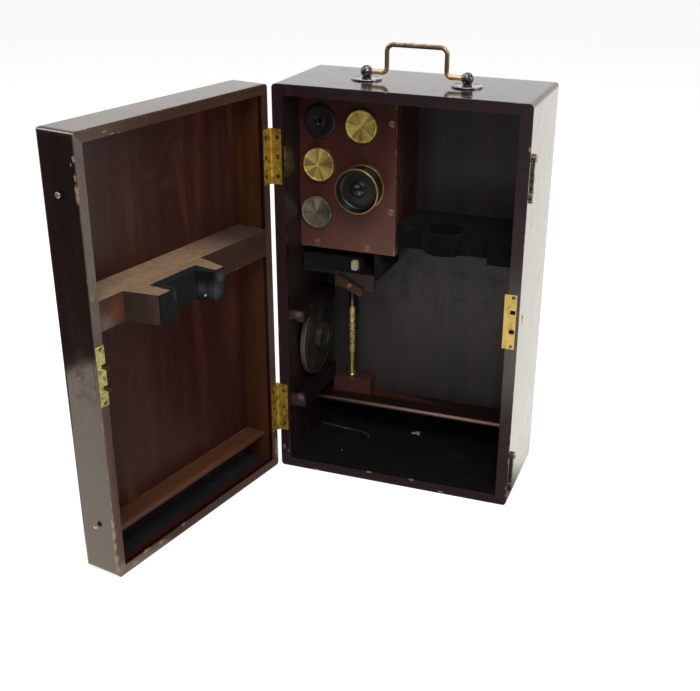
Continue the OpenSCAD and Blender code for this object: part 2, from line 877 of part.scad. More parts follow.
module knurled_rod() {
    r = rod_d / 2;
    color(old_brass) from_corner() translate([rod_at[0], rod_at[1], rod_seat_z]) rotate_extrude()
        polygon([
            [0, -rod_spigot_len], [rod_spigot_d / 2, -rod_spigot_len], [rod_spigot_d / 2, 0],
            [r + 1.25, 0], [r + 1.25, 2], [r - 0.2, 2.3], [r - 0.2, 2.9], [r + 1, 3.2], [r + 1, 4.6],
            [r - 0.3, 5], [r - 0.3, 0.27 * rod_h], [r, 0.275 * rod_h], [r, 0.79 * rod_h],
            [r - 0.3, 0.795 * rod_h], [r - 0.3, 0.805 * rod_h], [r, 0.81 * rod_h],
            [r, rod_h - 1], [r - 1, rod_h], [0, rod_h]
        ]);
}

// Slip box compartment under the rack

module slip_shelf() {
    color(mahogany_red) from_corner() {
        apron_back = slip_apron_y + slip_shelf_t;
        span([in_x0, apron_back, slip_under_z], [slip_x1, in_y1, slip_floor_z]);
        difference() {
            span([slip_apron_x, slip_apron_y, slip_apron_z], [slip_x1, apron_back, slip_floor_z]);
            translate([button_at[0], slip_apron_y - cut, button_at[1]]) facing_back()
                cylinder(d = button_screw_d + 2 * play, h = slip_shelf_t + 2 * cut);
        }
    }
}

module slip_hanger() {
    color(velvet_black) from_corner()
        span([slip_x1, slip_apron_y, slip_under_z],
            [slip_x1 + slip_hanger_t, in_y1, rack_z]);
}

module slip_box() {
    z0 = slip_floor_z + 0.1;
    lip = 1;
    color(black_lacquer) from_corner() difference() {
        span([slip_box_x, slip_box_y, z0], [slip_box_x + slip_w, slip_box_y + slip_box_d, z0 + slip_h]);
        for (x = [slip_box_x, slip_box_x + slip_w])
            along_y(slip_box_y - cut, slip_box_y + slip_box_d + cut)
                translate([x, z0 + slip_h]) rotate(45) square(lip, center = true);
        translate([knob_at[0], slip_box_y - cut, knob_at[1]]) facing_back()
            cylinder(d = knob_stem_d + 2 * play, h = knob_stem_len + play + cut);
    }
}

module slip_box_knob() {
    r = knob_w * 0.3;
    color(bone) from_corner() {
        along_y(slip_box_y - knob_t, slip_box_y) translate([knob_at[0], knob_at[1]]) {
            square([knob_w - 2 * r, knob_h], center = true);
            square([knob_w, knob_h - 2 * r], center = true);
            for (i = [-1, 1], j = [-1, 1])
                translate([i * (knob_w / 2 - r), j * (knob_h / 2 - r)]) circle(r);
        }
        translate([knob_at[0], slip_box_y, knob_at[1]]) facing_back()
            cylinder(d = knob_stem_d, h = knob_stem_len);
    }
}

module turn_button() {
    color(mahogany_red) from_corner() translate([button_at[0], slip_apron_y - 0.1, button_at[1]])
        rotate([0, -button_tilt, 0]) rotate([90, 0, 0]) linear_extrude(button_t) difference() {
            union() {
                square([button_len - button_w, button_w], center = true);
                for (s = [-1, 1]) translate([s * (button_len - button_w) / 2, 0]) circle(button_w / 2);
            }
            circle(button_screw_d / 2 + play);
        }
}

module turn_button_screw() {
    color(old_brass) from_corner()
        translate([button_at[0], slip_apron_y - 0.2 - button_t, button_at[1]]) facing_back()
            rotate_extrude()
                polygon([
                    [0, -1.2], [1.8, -1], [2.6, -0.2], [2.6, 0], [button_screw_d / 2, 0],
                    [button_screw_d / 2, button_t + slip_shelf_t], [0, button_t + slip_shelf_t]
                ]);
}

// Hinges

module hinge_case_leaves() {
    color(old_brass) from_corner() difference() {
        leaves([0, 2, 4], 0, hinge_pin_d + 0.02);
        at_each(hinge_screws, 0) facing_back() leaf_screw_hole();
    }
}

module hinge_pins() {
    color(old_brass) from_corner()
        for (z = hinge_z) translate([hinge_x, hinge_y, z]) cylinder(d = hinge_pin_d, h = hinge_len);
}

module hinge_door_leaves() {
    color(old_brass) on_door() difference() {
        leaves([1, 3], door_rim_y - leaf_t, hinge_pin_d + 2 * play);
        at_each(hinge_screws, door_rim_y) facing_front() leaf_screw_hole();
    }
}

module case_screws() {
    color(lock_brass) from_corner() {
        at_each(hinge_screws, 0) facing_back() leaf_screw();
        at_each(plate_screws, 0) facing_back() plate_screw();
    }
}

module door_screws() {
    color(lock_brass) on_door() {
        at_each(hinge_screws, door_rim_y) facing_front() leaf_screw();
        at_each(plate_screws, door_rim_y) facing_front() plate_screw();
    }
}

// Box lock: a face plate with two slots, a thin case behind it and a bolt with two fingers

module lock_case() {
    color(lock_brass) from_corner() difference() {
        union() {
            span([lock_x0, 0, lock_z - lock_len / 2], [lock_x1, face_plate_t, lock_z + lock_len / 2]);
            span([lock_x0, face_plate_t, lock_z - lock_half], [lock_x1, lock_depth, lock_z + lock_half]);
        }
        span([lock_x0 + lock_wall, face_plate_t, lock_z - lock_half + lock_wall],
            [lock_x1 - lock_wall, lock_depth - lock_wall, lock_z + lock_half - lock_wall]);
        for (z = staple_z)
            span([staple_x - staple_w / 2 - staple_gap, -cut, z - staple_t / 2 - staple_gap],
                [staple_x + staple_w / 2 + staple_gap, face_plate_t + cut, z + staple_t / 2 + staple_gap]);
        at_each(plate_screws, 0) facing_back() plate_screw_hole();
        along_x(lock_x1 - lock_wall - cut, lock_x1 + cut) keyhole(0);
    }
}

module lock_bolt() {
    color(old_brass) from_corner() {
        finger_y = eye_y0 + 0.4;
        z_low = staple_z[0] - staple_t / 2 - finger_gap - finger_len;
        z_high = staple_z[1] - staple_t / 2 - finger_gap - finger_len;
        span([lock_x0 + lock_wall + 1, bolt_back_y, z_low - lug_h],
            [staple_x + 1.4, bolt_back_y + bolt_strip_t, z_high + bolt_tail]);
        for (z = [z_low, z_high]) {
            span([staple_x - 1.4, finger_y, z - lug_h], [staple_x + 1.4, bolt_back_y, z]);
            span([staple_x - 0.9, finger_y, z], [staple_x + 0.9, finger_y + finger_t, z + finger_len]);
        }
    }
}

// Link plate on the door's free rim, with two staples whose eyes take the bolt's fingers

module link_plate() {
    link_x1 = case_w - 0.6;
    eye_y1 = eye_y0 + finger_t + 0.8;
    color(lock_brass) on_door() difference() {
        union() {
            span([link_x1 - link_w, door_rim_y - face_plate_t, lock_z - lock_len / 2],
                [link_x1, door_rim_y, lock_z + lock_len / 2]);
            for (z = staple_z)
                along_z(z - staple_t / 2, z + staple_t / 2) {
                    translate([staple_x - staple_w / 2, door_rim_y])
                        square([staple_w, staple_out - staple_w / 2]);
                    translate([staple_x, door_rim_y + staple_out - staple_w / 2]) circle(staple_w / 2);
                }
        }
        for (z = staple_z)
            span([staple_x - staple_w / 2 + eye_wall, eye_y0, z - staple_t],
                [staple_x + staple_w / 2 - eye_wall, eye_y1, z + staple_t]);
        at_each(plate_screws, door_rim_y) facing_front() plate_screw_hole();
    }
}

// Handle

module handle_rosettes() {
    r = rosette_d / 2;
    color(dark_bronze) from_corner()
        for (x = post_x) translate([x, handle_back, case_h]) rotate_extrude()
            polygon([
                [post_shank_d / 2 + play, 0], [r, 0], [r, rosette_t + 0.2], [r - 0.6, rosette_t + 0.7],
                [r - 1.4, rosette_t + 0.5], [r - 2, rosette_t], [post_shank_d / 2 + play, rosette_t]
            ]);
}

module handle_posts() {
    color(dark_bronze) from_corner()
        for (x = post_x) translate([x, handle_back, case_h]) difference() {
            union() {
                translate([0, 0, -post_shank_len]) cylinder(d = post_shank_d, h = post_shank_len + eye_h);
                translate([0, 0, rosette_t]) cylinder(d = 0.8 * post_ball_d, h = 1.4);
                translate([0, 0, eye_h]) sphere(d = post_ball_d);
            }
            translate([-post_ball_d, 0, eye_h]) rotate([0, 90, 0])
                cylinder(d = wire_d + 2 * play, h = 2 * post_ball_d);
        }
}

// Half of the bail, from the middle of the grip to the end of one foot
module half_bail() {
    leg = bail_w / 2;
    foot_end = post_pitch / 2 + 0.36 * post_ball_d;
    translate([-0.01, 0, bail_rise]) rotate([0, 90, 0]) cylinder(d = wire_d, h = leg - grip_bend_r + 0.01);
    translate([leg - grip_bend_r, 0, bail_rise - grip_bend_r]) rotate([90, 0, 0])
        rotate_extrude(angle = 90) translate([grip_bend_r, 0]) circle(d = wire_d);
    translate([leg, 0, foot_bend_r]) cylinder(d = wire_d, h = bail_rise - grip_bend_r - foot_bend_r);
    translate([leg + foot_bend_r, 0, foot_bend_r]) rotate([90, 0, 0])
        rotate([0, 0, 180]) rotate_extrude(angle = 90) translate([foot_bend_r, 0]) circle(d = wire_d);
    translate([leg + foot_bend_r, 0, 0]) rotate([0, 90, 0])
        cylinder(d = wire_d, h = foot_end - leg - foot_bend_r);
}

module handle_bail() {
    color(copper_brass) from_corner() translate([case_w / 2, handle_back, case_h + eye_h]) {
        half_bail();
        mirror([1, 0, 0]) half_bail();
    }
}

// Hooks: outline in y and z with the pivot at the origin, hanging down

module hook_outline() {
    mouth = stud_d + 0.8;
    difference() {
        union() {
            circle(hook_eye_r);
            translate([-hook_w / 2, -hook_reach]) square([hook_w, hook_reach]);
            translate([0, -hook_reach]) circle(hook_end_r);
            translate([-0.6, -hook_reach - hook_end_r - 1]) circle(1.7);
        }
        circle(hook_pivot_d / 2 + play);
        translate([0, -hook_reach]) circle(mouth / 2);
        translate([0, -hook_reach - mouth / 2]) square([hook_end_r + cut, mouth]);
    }
}

module hook(z) {
    color(dark_bronze) from_corner() translate([0, hook_back, z])
        along_x(hook_x0, hook_x0 + hook_t) hook_outline();
}

module upper_hook() { hook(hook_z[1]); }

module lower_hook() { hook(hook_z[0]); }

// Round-headed screws that the hooks turn on, pointing into the side board
module hook_pivots() {
    out = air + hook_t + hook_head_gap;
    color(dark_bronze) from_corner()
        for (z = hook_z) translate([case_w, hook_back, z]) rotate([0, 90, 0]) rotate_extrude()
            polygon([
                [0, -hook_pivot_len], [hook_pivot_d / 2, -hook_pivot_len], [hook_pivot_d / 2, out],
                [hook_head_r, out], [0.97 * hook_head_r, out + 0.42 * hook_head_t],
                [0.67 * hook_head_r, out + 0.84 * hook_head_t], [0, out + hook_head_t]
            ]);
}

// Headed studs on the door's free side
module hook_studs() {
    out = air + hook_t + stud_head_gap;
    r = stud_d / 2;
    color(dark_bronze) on_door()
        for (z = hook_z) translate([case_w, stud_y, z]) rotate([0, 90, 0]) rotate_extrude()
            polygon([
                [0, -stud_len], [r, -stud_len], [r, out], [r + stud_head_over, out],
                [r + stud_head_over, out + 0.6 * stud_head_t],
                [r + 0.4 * stud_head_over, out + stud_head_t], [0, out + stud_head_t]
            ]);
}

// Door

module door_panel() {
    color(mahogany) on_door()
        span([door_x0, door_rim_y - door_d, door_z0], [door_x1, door_in_y, door_z1]);
}

module door_top_rail() {
    color(mahogany) on_door() door_board("top");
}

module door_bottom_rail() {
    color(mahogany) on_door() door_board("bottom");
}

module door_hinge_stile() {
    color(mahogany) on_door() difference() {
        door_board("left");
        hinge_seats(door_rim_y - leaf_t, door_rim_y + cut);
        at_each(hinge_screws, door_rim_y) facing_front() leaf_screw_hole();
    }
}

module door_free_stile() {
    color(mahogany) on_door() difference() {
        door_board("right");
        span([case_w - 0.6 - link_w, door_rim_y - face_plate_t, lock_z - lock_len / 2],
            [case_w - 0.6, door_rim_y + cut, lock_z + lock_len / 2]);
        at_each(plate_screws, door_rim_y) facing_front() plate_screw_hole();
        for (z = hook_z)
            translate([case_w - stud_len, stud_y, z]) rotate([0, 90, 0])
                cylinder(d = stud_d + 2 * play, h = stud_len + cut);
    }
}

module door_cross_rail() {
    color(mahogany_pale) on_door()
        span([door_x0, door_in_y, rail_z], [door_x1, door_rim_y, rail_z + rail_h]);
}

// Plan of the clamp block's outside and of its notch, the notch grown by the cloth's thickness

module clamp_plan(end_y) {
    polygon([
        [clamp_mid_x - clamp_root_half, door_rim_y], [clamp_mid_x + clamp_root_half, door_rim_y],
        [clamp_mid_x + clamp_tip_half, end_y], [clamp_mid_x - clamp_tip_half, end_y]
    ]);
}

module clamp_notch(grow) {
    polygon([
        [tube_x - clamp_notch_half - grow, clamp_notch_y - grow],
        [tube_x + clamp_notch_half + grow, clamp_notch_y - grow],
        [tube_x + clamp_mouth_half + grow, clamp_in + cut],
        [tube_x - clamp_mouth_half - grow, clamp_in + cut]
    ]);
}

module tube_clamp_block() {
    color(mahogany) on_door() along_z(rail_z, rail_z + rail_h) difference() {
        clamp_plan(clamp_in - lining_t);
        clamp_notch(lining_t);
    }
}

module clamp_lining() {
    color(velvet_black) on_door() along_z(rail_z, rail_z + rail_h) difference() {
        union() {
            intersection() {
                clamp_plan(clamp_in - lining_t);
                clamp_notch(lining_t);
            }
            translate([clamp_mid_x - clamp_tip_half, clamp_in - lining_t])
                square([2 * clamp_tip_half, lining_t]);
        }
        clamp_notch(0);
    }
}

module toe_bar() {
    color(mahogany) on_door() along_x(door_x0, door_x1)
        translate([door_in_y, toe_z]) rounded_bar(toe_d, bar_t);
}

module door_lining() {
    color(velvet_black) on_door() along_x(door_x0, door_x1)
        polygon([
            [door_in_y, door_z0], [door_in_y + toe_d, door_z0], [door_in_y + toe_d, door_z0 + lining_t],
            [door_in_y + lining_t, door_z0 + lining_t], [door_in_y + lining_t, toe_z], [door_in_y, toe_z]
        ]);
}

case_top();
case_bottom();
case_left_side();
case_right_side();
case_back();
floor_lining();
heel_bar();
tube_bracket();
bracket_lining();
rack_front();
rack_side();
rack_base();
rack_rear_guide();
rack_screws();
plate_rails();
rod_block();
slip_shelf();
slip_hanger();
hinge_case_leaves();
hinge_pins();
case_screws();
lock_case();
keyhole_plate();
handle_rosettes();
handle_posts();
hook_pivots();
turn_button_screw();
door_panel();
door_top_rail();
door_bottom_rail();
door_hinge_stile();
door_free_stile();
door_cross_rail();
tube_clamp_block();
clamp_lining();
toe_bar();
door_lining();
link_plate();
door_screws();
hinge_door_leaves();
hook_studs();
handle_bail();
upper_hook();
lower_hook();
lock_bolt();
upper_can();
upper_can_cap();
middle_can();
middle_can_cap();
lower_can();
lower_can_cap();
small_eyepiece();
small_eyepiece_lens();
large_eyepiece();
large_eyepiece_lens();
round_plate();
knurled_rod();
slip_box();
slip_box_knob();
turn_button();
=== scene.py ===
import math

import bpy
import numpy as np
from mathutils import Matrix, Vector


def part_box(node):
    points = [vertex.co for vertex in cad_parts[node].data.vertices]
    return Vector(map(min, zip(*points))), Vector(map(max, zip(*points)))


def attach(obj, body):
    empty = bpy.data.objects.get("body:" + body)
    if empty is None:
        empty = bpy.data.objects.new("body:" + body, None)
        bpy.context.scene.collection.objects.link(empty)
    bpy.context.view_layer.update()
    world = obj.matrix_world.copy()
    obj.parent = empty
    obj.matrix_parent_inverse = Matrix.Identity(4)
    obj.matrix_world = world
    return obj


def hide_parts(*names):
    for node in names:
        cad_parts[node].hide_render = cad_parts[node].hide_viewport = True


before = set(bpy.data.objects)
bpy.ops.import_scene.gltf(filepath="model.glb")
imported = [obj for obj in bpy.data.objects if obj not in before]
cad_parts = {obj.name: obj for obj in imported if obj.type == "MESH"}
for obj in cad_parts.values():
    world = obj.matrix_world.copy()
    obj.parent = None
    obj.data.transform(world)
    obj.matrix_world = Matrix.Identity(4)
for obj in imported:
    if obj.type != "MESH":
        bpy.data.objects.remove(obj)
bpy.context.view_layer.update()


# ---------------------------------------------------------------- studio
# A pale floor in front of a white backdrop, one large soft light from the front, one from the right
# and one behind. The front of the room is dim, which keeps the polish dark where it faces the lens.
scene = bpy.context.scene
scene.view_settings.view_transform = "Standard"


def put(tree, kind, settings=None, inputs=None):
    """Adds a shader node. inputs maps a socket's name or number to a value or to the output that feeds it."""
    node = tree.nodes.new("ShaderNode" + kind)
    for key, value in (settings or {}).items():
        setattr(node, key, value)
    for key, value in (inputs or {}).items():
        if isinstance(value, bpy.types.NodeSocket):
            tree.links.new(value, node.inputs[key])
        else:
            node.inputs[key].default_value = value
    return node


def calc(tree, operation, *terms, clamp=False):
    """One step of arithmetic on values or outputs."""
    settings = {"operation": operation, "use_clamp": clamp}
    return put(tree, "Math", settings, dict(enumerate(terms))).outputs[0]


def blend(tree, share, a, b, how="MIX"):
    """Colour a, with colour b mixed in by its share."""
    settings = {"data_type": "RGBA", "blend_type": how}
    return put(tree, "Mix", settings, {0: share, 6: a, 7: b}).outputs[2]


def ramp(tree, value, low, high, from_value=0.0, to_value=1.0):
    """A smooth step of value between low and high."""
    inputs = {0: value, 1: low, 2: high, 3: from_value, 4: to_value}
    return put(tree, "MapRange", {"interpolation_type": "SMOOTHSTEP"}, inputs).outputs[0]


camera_data = bpy.data.cameras.new("camera")
camera_data.lens = 56.49
camera_data.shift_x = -0.0523
camera_data.shift_y = 0.0501
camera = bpy.data.objects.new("camera", camera_data)
scene.collection.objects.link(camera)
scene.camera = camera
yaw, pitch, roll = (math.radians(angle) for angle in (18.45, 25.29, -0.98))
ahead = np.array([-math.sin(yaw) * math.cos(pitch), math.cos(yaw) * math.cos(pitch), -math.sin(pitch)])
level = np.array([math.cos(yaw), math.sin(yaw), 0.0])
below = np.cross(ahead, level)
right = math.cos(roll) * level + math.sin(roll) * below
down = -math.sin(roll) * level + math.cos(roll) * below
placing = np.eye(4)
placing[:3, 0], placing[:3, 1], placing[:3, 2] = right, -down, -ahead
placing[:3, 3] = (0.2953, -0.9575, 0.5630)
camera.matrix_world = placing.T.tolist()


def softbox(name, place, target, size, power, colour=(1.0, 1.0, 1.0)):
    """A rectangular lamp that faces its target."""
    lamp = bpy.data.lights.new(name, "AREA")
    lamp.shape = "RECTANGLE"
    lamp.size, lamp.size_y = size
    lamp.energy = power
    lamp.color = colour
    stand = bpy.data.objects.new(name, lamp)
    scene.collection.objects.link(stand)
    back = np.array(place, float) - np.array(target, float)
    back /= np.linalg.norm(back)
    side = np.cross((0.0, 0.0, 1.0), back)
    side /= np.linalg.norm(side)
    frame_of = np.eye(4)
    frame_of[:3, 0], frame_of[:3, 1], frame_of[:3, 2] = side, np.cross(back, side), back
    frame_of[:3, 3] = place
    stand.matrix_world = frame_of.T.tolist()
    return stand


softbox("front_light", (0.55, -1.5, 1.75), (-0.03, -0.05, 0.15), (1.2, 1.0), 22)
softbox("side_light", (1.9, -0.3, 1.2), (0.0, 0.0, 0.2), (1.0, 1.2), 9)
softbox("top_light", (-0.2, 0.2, 2.0), (0.0, 0.0, 0.2), (1.4, 1.4), 14)
softbox("left_light", (-1.5, -0.38, 1.45), (-0.15, -0.25, 0.3), (0.45, 0.45), 5.5)

world = bpy.data.worlds.new("studio")
scene.world = world
world.use_nodes = True
sky = world.node_tree
sky.nodes.clear()
light_path = put(sky, "LightPath")
towards = put(sky, "SeparateXYZ", None, {0: put(sky, "TexCoord").outputs["Generated"]})
behind = ramp(sky, towards.outputs[1], -0.35, 0.25)
mirrored = blend(sky, behind, (0.15, 0.15, 0.155, 1), (1.16, 1.15, 1.13, 1))
seen = calc(sky, "MAXIMUM", light_path.outputs["Is Camera Ray"], light_path.outputs["Is Transmission Ray"])
lit = blend(sky, light_path.outputs["Is Glossy Ray"], (0.30, 0.30, 0.31, 1), mirrored)
shown = blend(sky, seen, lit, (1, 1, 1, 1))
background = put(sky, "Background", None, {0: shown, 1: 1.0})
out = put(sky, "OutputWorld")
sky.links.new(background.outputs[0], out.inputs[0])

floor_mesh = bpy.data.meshes.new("floor")
floor_mesh.from_pydata([(x, y, 0.0) for y in (-9.0, 9.0) for x in (-9.0, 9.0)], [], [(0, 1, 3, 2)])
floor = bpy.data.objects.new("floor", floor_mesh)
scene.collection.objects.link(floor)
paper = bpy.data.materials.new("floor_paper")
paper.use_nodes = True
tree = paper.node_tree
tree.nodes.clear()
rays = put(tree, "LightPath")
place = put(tree, "SeparateXYZ", None, {0: put(tree, "TexCoord").outputs["Object"]})
x, y = place.outputs[0], place.outputs[1]
# Painted reflections: for glossy rays only, the floor glows in shaped patches: a band in front of the case, a warm
# patch before the door, and brighter ground behind the case and beside its right side. These patches are no lamps.
lean = calc(tree, "MULTIPLY_ADD", x, -0.61, y)
before_door = calc(tree, "MULTIPLY", ramp(tree, lean, -0.215, -0.195), ramp(tree, lean, -0.115, -0.135))
before_door = calc(tree, "MULTIPLY", before_door, calc(tree, "MULTIPLY", ramp(tree, x, -0.575, -0.555), ramp(tree, x, -0.14, -0.16)))
in_front = calc(tree, "MULTIPLY", ramp(tree, y, -0.72, -0.56), ramp(tree, y, -0.24, -0.34))
in_front = calc(tree, "MULTIPLY", in_front, ramp(tree, x, -0.50, -0.44))
gloss_level = calc(tree, "MULTIPLY_ADD", in_front, 1.5, ramp(tree, x, -0.60, -0.45, 0.07, 0.24))
gloss_level = calc(tree, "MAXIMUM", gloss_level, calc(tree, "MULTIPLY", before_door, 2.2))
gloss_level = calc(tree, "MULTIPLY_ADD", ramp(tree, y, -0.03, 0.05), 1.0, gloss_level)
gloss_level = calc(tree, "MULTIPLY_ADD", calc(tree, "MULTIPLY", ramp(tree, y, 0.0, 0.05), ramp(tree, x, 0.10, 0.14)), 0.46, gloss_level)
matt = put(tree, "BsdfDiffuse", None, {0: (0.86, 0.86, 0.86, 1)})
glow = put(tree, "Emission", None, {0: (1, 1, 1, 1), 1: 0.80})
gloss_tint = blend(tree, before_door, (1.0, 0.96, 0.90, 1), (1.0, 0.87, 0.72, 1))
mirror_glow = put(tree, "Emission", None, {0: gloss_tint, 1: gloss_level})
dim_matt = put(tree, "BsdfDiffuse", None, {0: (0.42, 0.42, 0.42, 1)})
pale = put(tree, "AddShader", None, {0: dim_matt.outputs[0], 1: glow.outputs[0]})
for_camera = put(tree, "MixShader", None, {0: rays.outputs["Is Camera Ray"], 1: matt.outputs[0], 2: pale.outputs[0]})
for_all = put(
    tree, "MixShader", None,
    {0: rays.outputs["Is Glossy Ray"], 1: for_camera.outputs[0], 2: mirror_glow.outputs[0]})
tree.links.new(for_all.outputs[0], put(tree, "OutputMaterial").inputs[0])
floor_mesh.materials.append(paper)


# ---------------------------------------------------------------- carcass and door boards
# Solid mahogany boards, mitred and glued, stained nearly black and French polished outside, thinly
# finished and redder inside. The arrises are rubbed pale and the polish is scuffed.
MM = 0.001
CASE_LOW, CASE_HIGH = (-118 * MM, -55.5 * MM, 0.0), (118 * MM, 55.5 * MM, 385 * MM)
DOOR_LOW, DOOR_HIGH = (-118 * MM, -94.4 * MM, 0.8 * MM), (118 * MM, -55.9 * MM, 385 * MM)
DOOR_OPEN = math.radians(101.5)
PIN = np.array([-119.9 * MM, -55.7 * MM, 0.0])


def spot(x, y, z):
    """A place in millimetres from the case's lower corner at the hinge side and rim, in the frame's metres."""
    return np.array([(x - 118) * MM, (y - 55.5) * MM, z * MM])


def turned(points, angle=-DOOR_OPEN):
    """Points of the shut door, turned about the hinge pin to where the door stands open."""
    c, s = math.cos(angle), math.sin(angle)
    return (points - PIN) @ np.array([[c, s, 0], [-s, c, 0], [0, 0, 1]]) + PIN


def new_group(name, takes, gives):
    """An empty node group with its sockets; takes maps a name to (kind, value), gives a name to a kind."""
    tree = bpy.data.node_groups.new(name, "ShaderNodeTree")
    for label, (kind, value) in takes.items():
        socket = tree.interface.new_socket(label, in_out="INPUT", socket_type="NodeSocket" + kind)
        if value is not None:
            socket.default_value = value
    for label, kind in gives.items():
        tree.interface.new_socket(label, in_out="OUTPUT", socket_type="NodeSocket" + kind)
    return tree, tree.nodes.new("NodeGroupInput").outputs, tree.nodes.new("NodeGroupOutput").inputs


def use(tree, group, inputs):
    """Places a node group and returns its outputs."""
    node = put(tree, "Group", {"node_tree": group})
    for key, value in inputs.items():
        if isinstance(value, bpy.types.NodeSocket):
            tree.links.new(value, node.inputs[key])
        else:
            node.inputs[key].default_value = value
    return node.outputs


def noise(tree, vector, scale, detail=3.0, roughness=0.55, distortion=0.0):
    """Fractal noise from 0 to 1, with about scale features in a metre."""
    inputs = {"Vector": vector, "Scale": scale, "Detail": detail, "Roughness": roughness, "Distortion": distortion}
    return put(tree, "TexNoise", None, inputs).outputs["Fac"]


def stretched(tree, vector, x, y, z):
    """The vector with its axes scaled apart."""
    return put(tree, "VectorMath", {"operation": "MULTIPLY"}, {0: vector, 1: (x, y, z)}).outputs[0]


# Grain along z: broad figure, fine fibres and short open pores, the way plain-sawn mahogany shows them
grain, g_in, g_out = new_group(
    "mahogany grain",
    {"Vector": ("Vector", None), "Dark": ("Color", (0.02, 0.008, 0.006, 1)), "Light": ("Color", (0.05, 0.016, 0.012, 1)),
     "Streak": ("Color", (0.10, 0.03, 0.012, 1)), "Streaks": ("Float", 0.4)},
    {"Color": "Color", "Height": "Float", "Pores": "Float"})
figure = noise(grain, stretched(grain, g_in["Vector"], 1, 1, 0.09), 42, 4, 0.6, 0.4)
band = noise(grain, stretched(grain, g_in["Vector"], 1, 1, 0.05), 150, 3, 0.6)
fibre = noise(grain, stretched(grain, g_in["Vector"], 1, 1, 0.02), 1100, 2, 0.7)
pore_noise = noise(grain, stretched(grain, g_in["Vector"], 1, 1, 0.045), 2300, 1, 0.5)
pores = ramp(grain, pore_noise, 0.66, 0.74)
cloud = noise(grain, stretched(grain, g_in["Vector"], 1, 1, 0.35), 13, 2, 0.5, 0.6)
tone = calc(grain, "MULTIPLY_ADD", figure, 1.5, -0.35)
tone = calc(grain, "MULTIPLY_ADD", band, 0.45, tone)
tone = calc(grain, "MULTIPLY_ADD", fibre, 0.30, tone)
tone = calc(grain, "ADD", tone, -0.28, clamp=True)
wood_colour = blend(grain, tone, g_in["Dark"], g_in["Light"])
streaky = calc(grain, "MULTIPLY", ramp(grain, figure, 0.52, 0.68), ramp(grain, cloud, 0.46, 0.64))
wood_colour = blend(grain, calc(grain, "MULTIPLY", streaky, g_in["Streaks"]), wood_colour, g_in["Streak"])
wood_colour = blend(grain, calc(grain, "MULTIPLY", pores, 0.45), wood_colour, (0.004, 0.002, 0.002, 1))
grain.links.new(wood_colour, g_out["Color"])
grain.links.new(calc(grain, "MULTIPLY_ADD", fibre, 0.35, calc(grain, "MULTIPLY", pores, -1.0)), g_out["Height"])
grain.links.new(pores, g_out["Pores"])

# How deep a point lies under the skin of a box, and how far it is from the box's nearest arris
arris, a_in, a_out = new_group(
    "arris distance",
    {"Vector": ("Vector", None), "Low": ("Vector", (0, 0, 0)), "High": ("Vector", (1, 1, 1))},
    {"Skin": "Float", "Arris": "Float"})
middle = put(arris, "VectorMath", {"operation": "MULTIPLY_ADD"},
             {0: put(arris, "VectorMath", {"operation": "ADD"}, {0: a_in["Low"], 1: a_in["High"]}).outputs[0],
              1: (0.5, 0.5, 0.5), 2: (0, 0, 0)}).outputs[0]
half = put(arris, "VectorMath", {"operation": "SUBTRACT"}, {0: a_in["High"], 1: middle}).outputs[0]
off = put(arris, "VectorMath", {"operation": "SUBTRACT"}, {0: a_in["Vector"], 1: middle}).outputs[0]
off = put(arris, "VectorMath", {"operation": "ABSOLUTE"}, {0: off}).outputs[0]
depth = put(arris, "SeparateXYZ", None,
            {0: put(arris, "VectorMath", {"operation": "SUBTRACT"}, {0: half, 1: off}).outputs[0]}).outputs
least = calc(arris, "MINIMUM", depth[0], calc(arris, "MINIMUM", depth[1], depth[2]))
most = calc(arris, "MAXIMUM", depth[0], calc(arris, "MAXIMUM", depth[1], depth[2]))
total = calc(arris, "ADD", depth[0], calc(arris, "ADD", depth[1], depth[2]))
arris.links.new(least, a_out["Skin"])
arris.links.new(calc(arris, "SUBTRACT", calc(arris, "SUBTRACT", total, least), most), a_out["Arris"])

# Thin scratches in two directions and soft scuffs, as masks
scuffs, s_in, s_out = new_group(
    "scratches and scuffs", {"Vector": ("Vector", None)}, {"Scratches": "Float", "Scuffs": "Float"})
lines = []
for turn, threshold in (((0.5, 0.3, 0.9), 0.70), ((1.2, -0.5, -0.4), 0.715)):
    leaned = put(scuffs, "Mapping", None, {"Vector": s_in["Vector"], "Rotation": turn}).outputs[0]
    thread = noise(scuffs, stretched(scuffs, leaned, 1, 1, 0.03), 900, 1.5, 0.5)
    lines.append(ramp(scuffs, thread, threshold, threshold + 0.03))
patch = ramp(scuffs, noise(scuffs, s_in["Vector"], 30, 3, 0.6), 0.50, 0.66)
scratch = calc(scuffs, "MULTIPLY", calc(scuffs, "MAXIMUM", lines[0], lines[1]), patch)
scuffs.links.new(scratch, s_out["Scratches"])
scuffs.links.new(ramp(scuffs, noise(scuffs, s_in["Vector"], 55, 5, 0.65, 0.3), 0.50, 0.72), s_out["Scuffs"])


def here(tree, door=False):
    """Object coordinates; a door's piece is turned back to where it lies when the case is shut."""
    where = put(tree, "TexCoord").outputs["Object"]
    if door:
        back = tuple(turned(np.zeros((1, 3)), DOOR_OPEN)[0])
        where = put(tree, "Mapping", None, {0: where, "Rotation": (0, 0, DOOR_OPEN), "Location": back}).outputs[0]
    return where


def spots(tree, where, places, stretch=(1, 1, 1), soft=0.12):
    """A mask of ragged spots at (x, y, z, radius) in millimetres, drawn out where the stretch is below 1."""
    ragged = noise(tree, where, 380, 5, 0.75)
    mask = 0.0
    for x, y, z, radius in places:
        away = put(tree, "VectorMath", {"operation": "SUBTRACT"}, {0: where, 1: tuple(spot(x, y, z))}).outputs[0]
        apart = put(tree, "VectorMath", {"operation": "LENGTH"}, {0: stretched(tree, away, *stretch)}).outputs["Value"]
        apart = calc(tree, "MULTIPLY_ADD", ragged, radius * MM * 2.6, apart)
        mask = calc(tree, "MAXIMUM", mask, ramp(tree, apart, radius * MM * (2 + soft), radius * MM * (2 - soft)))
    return mask


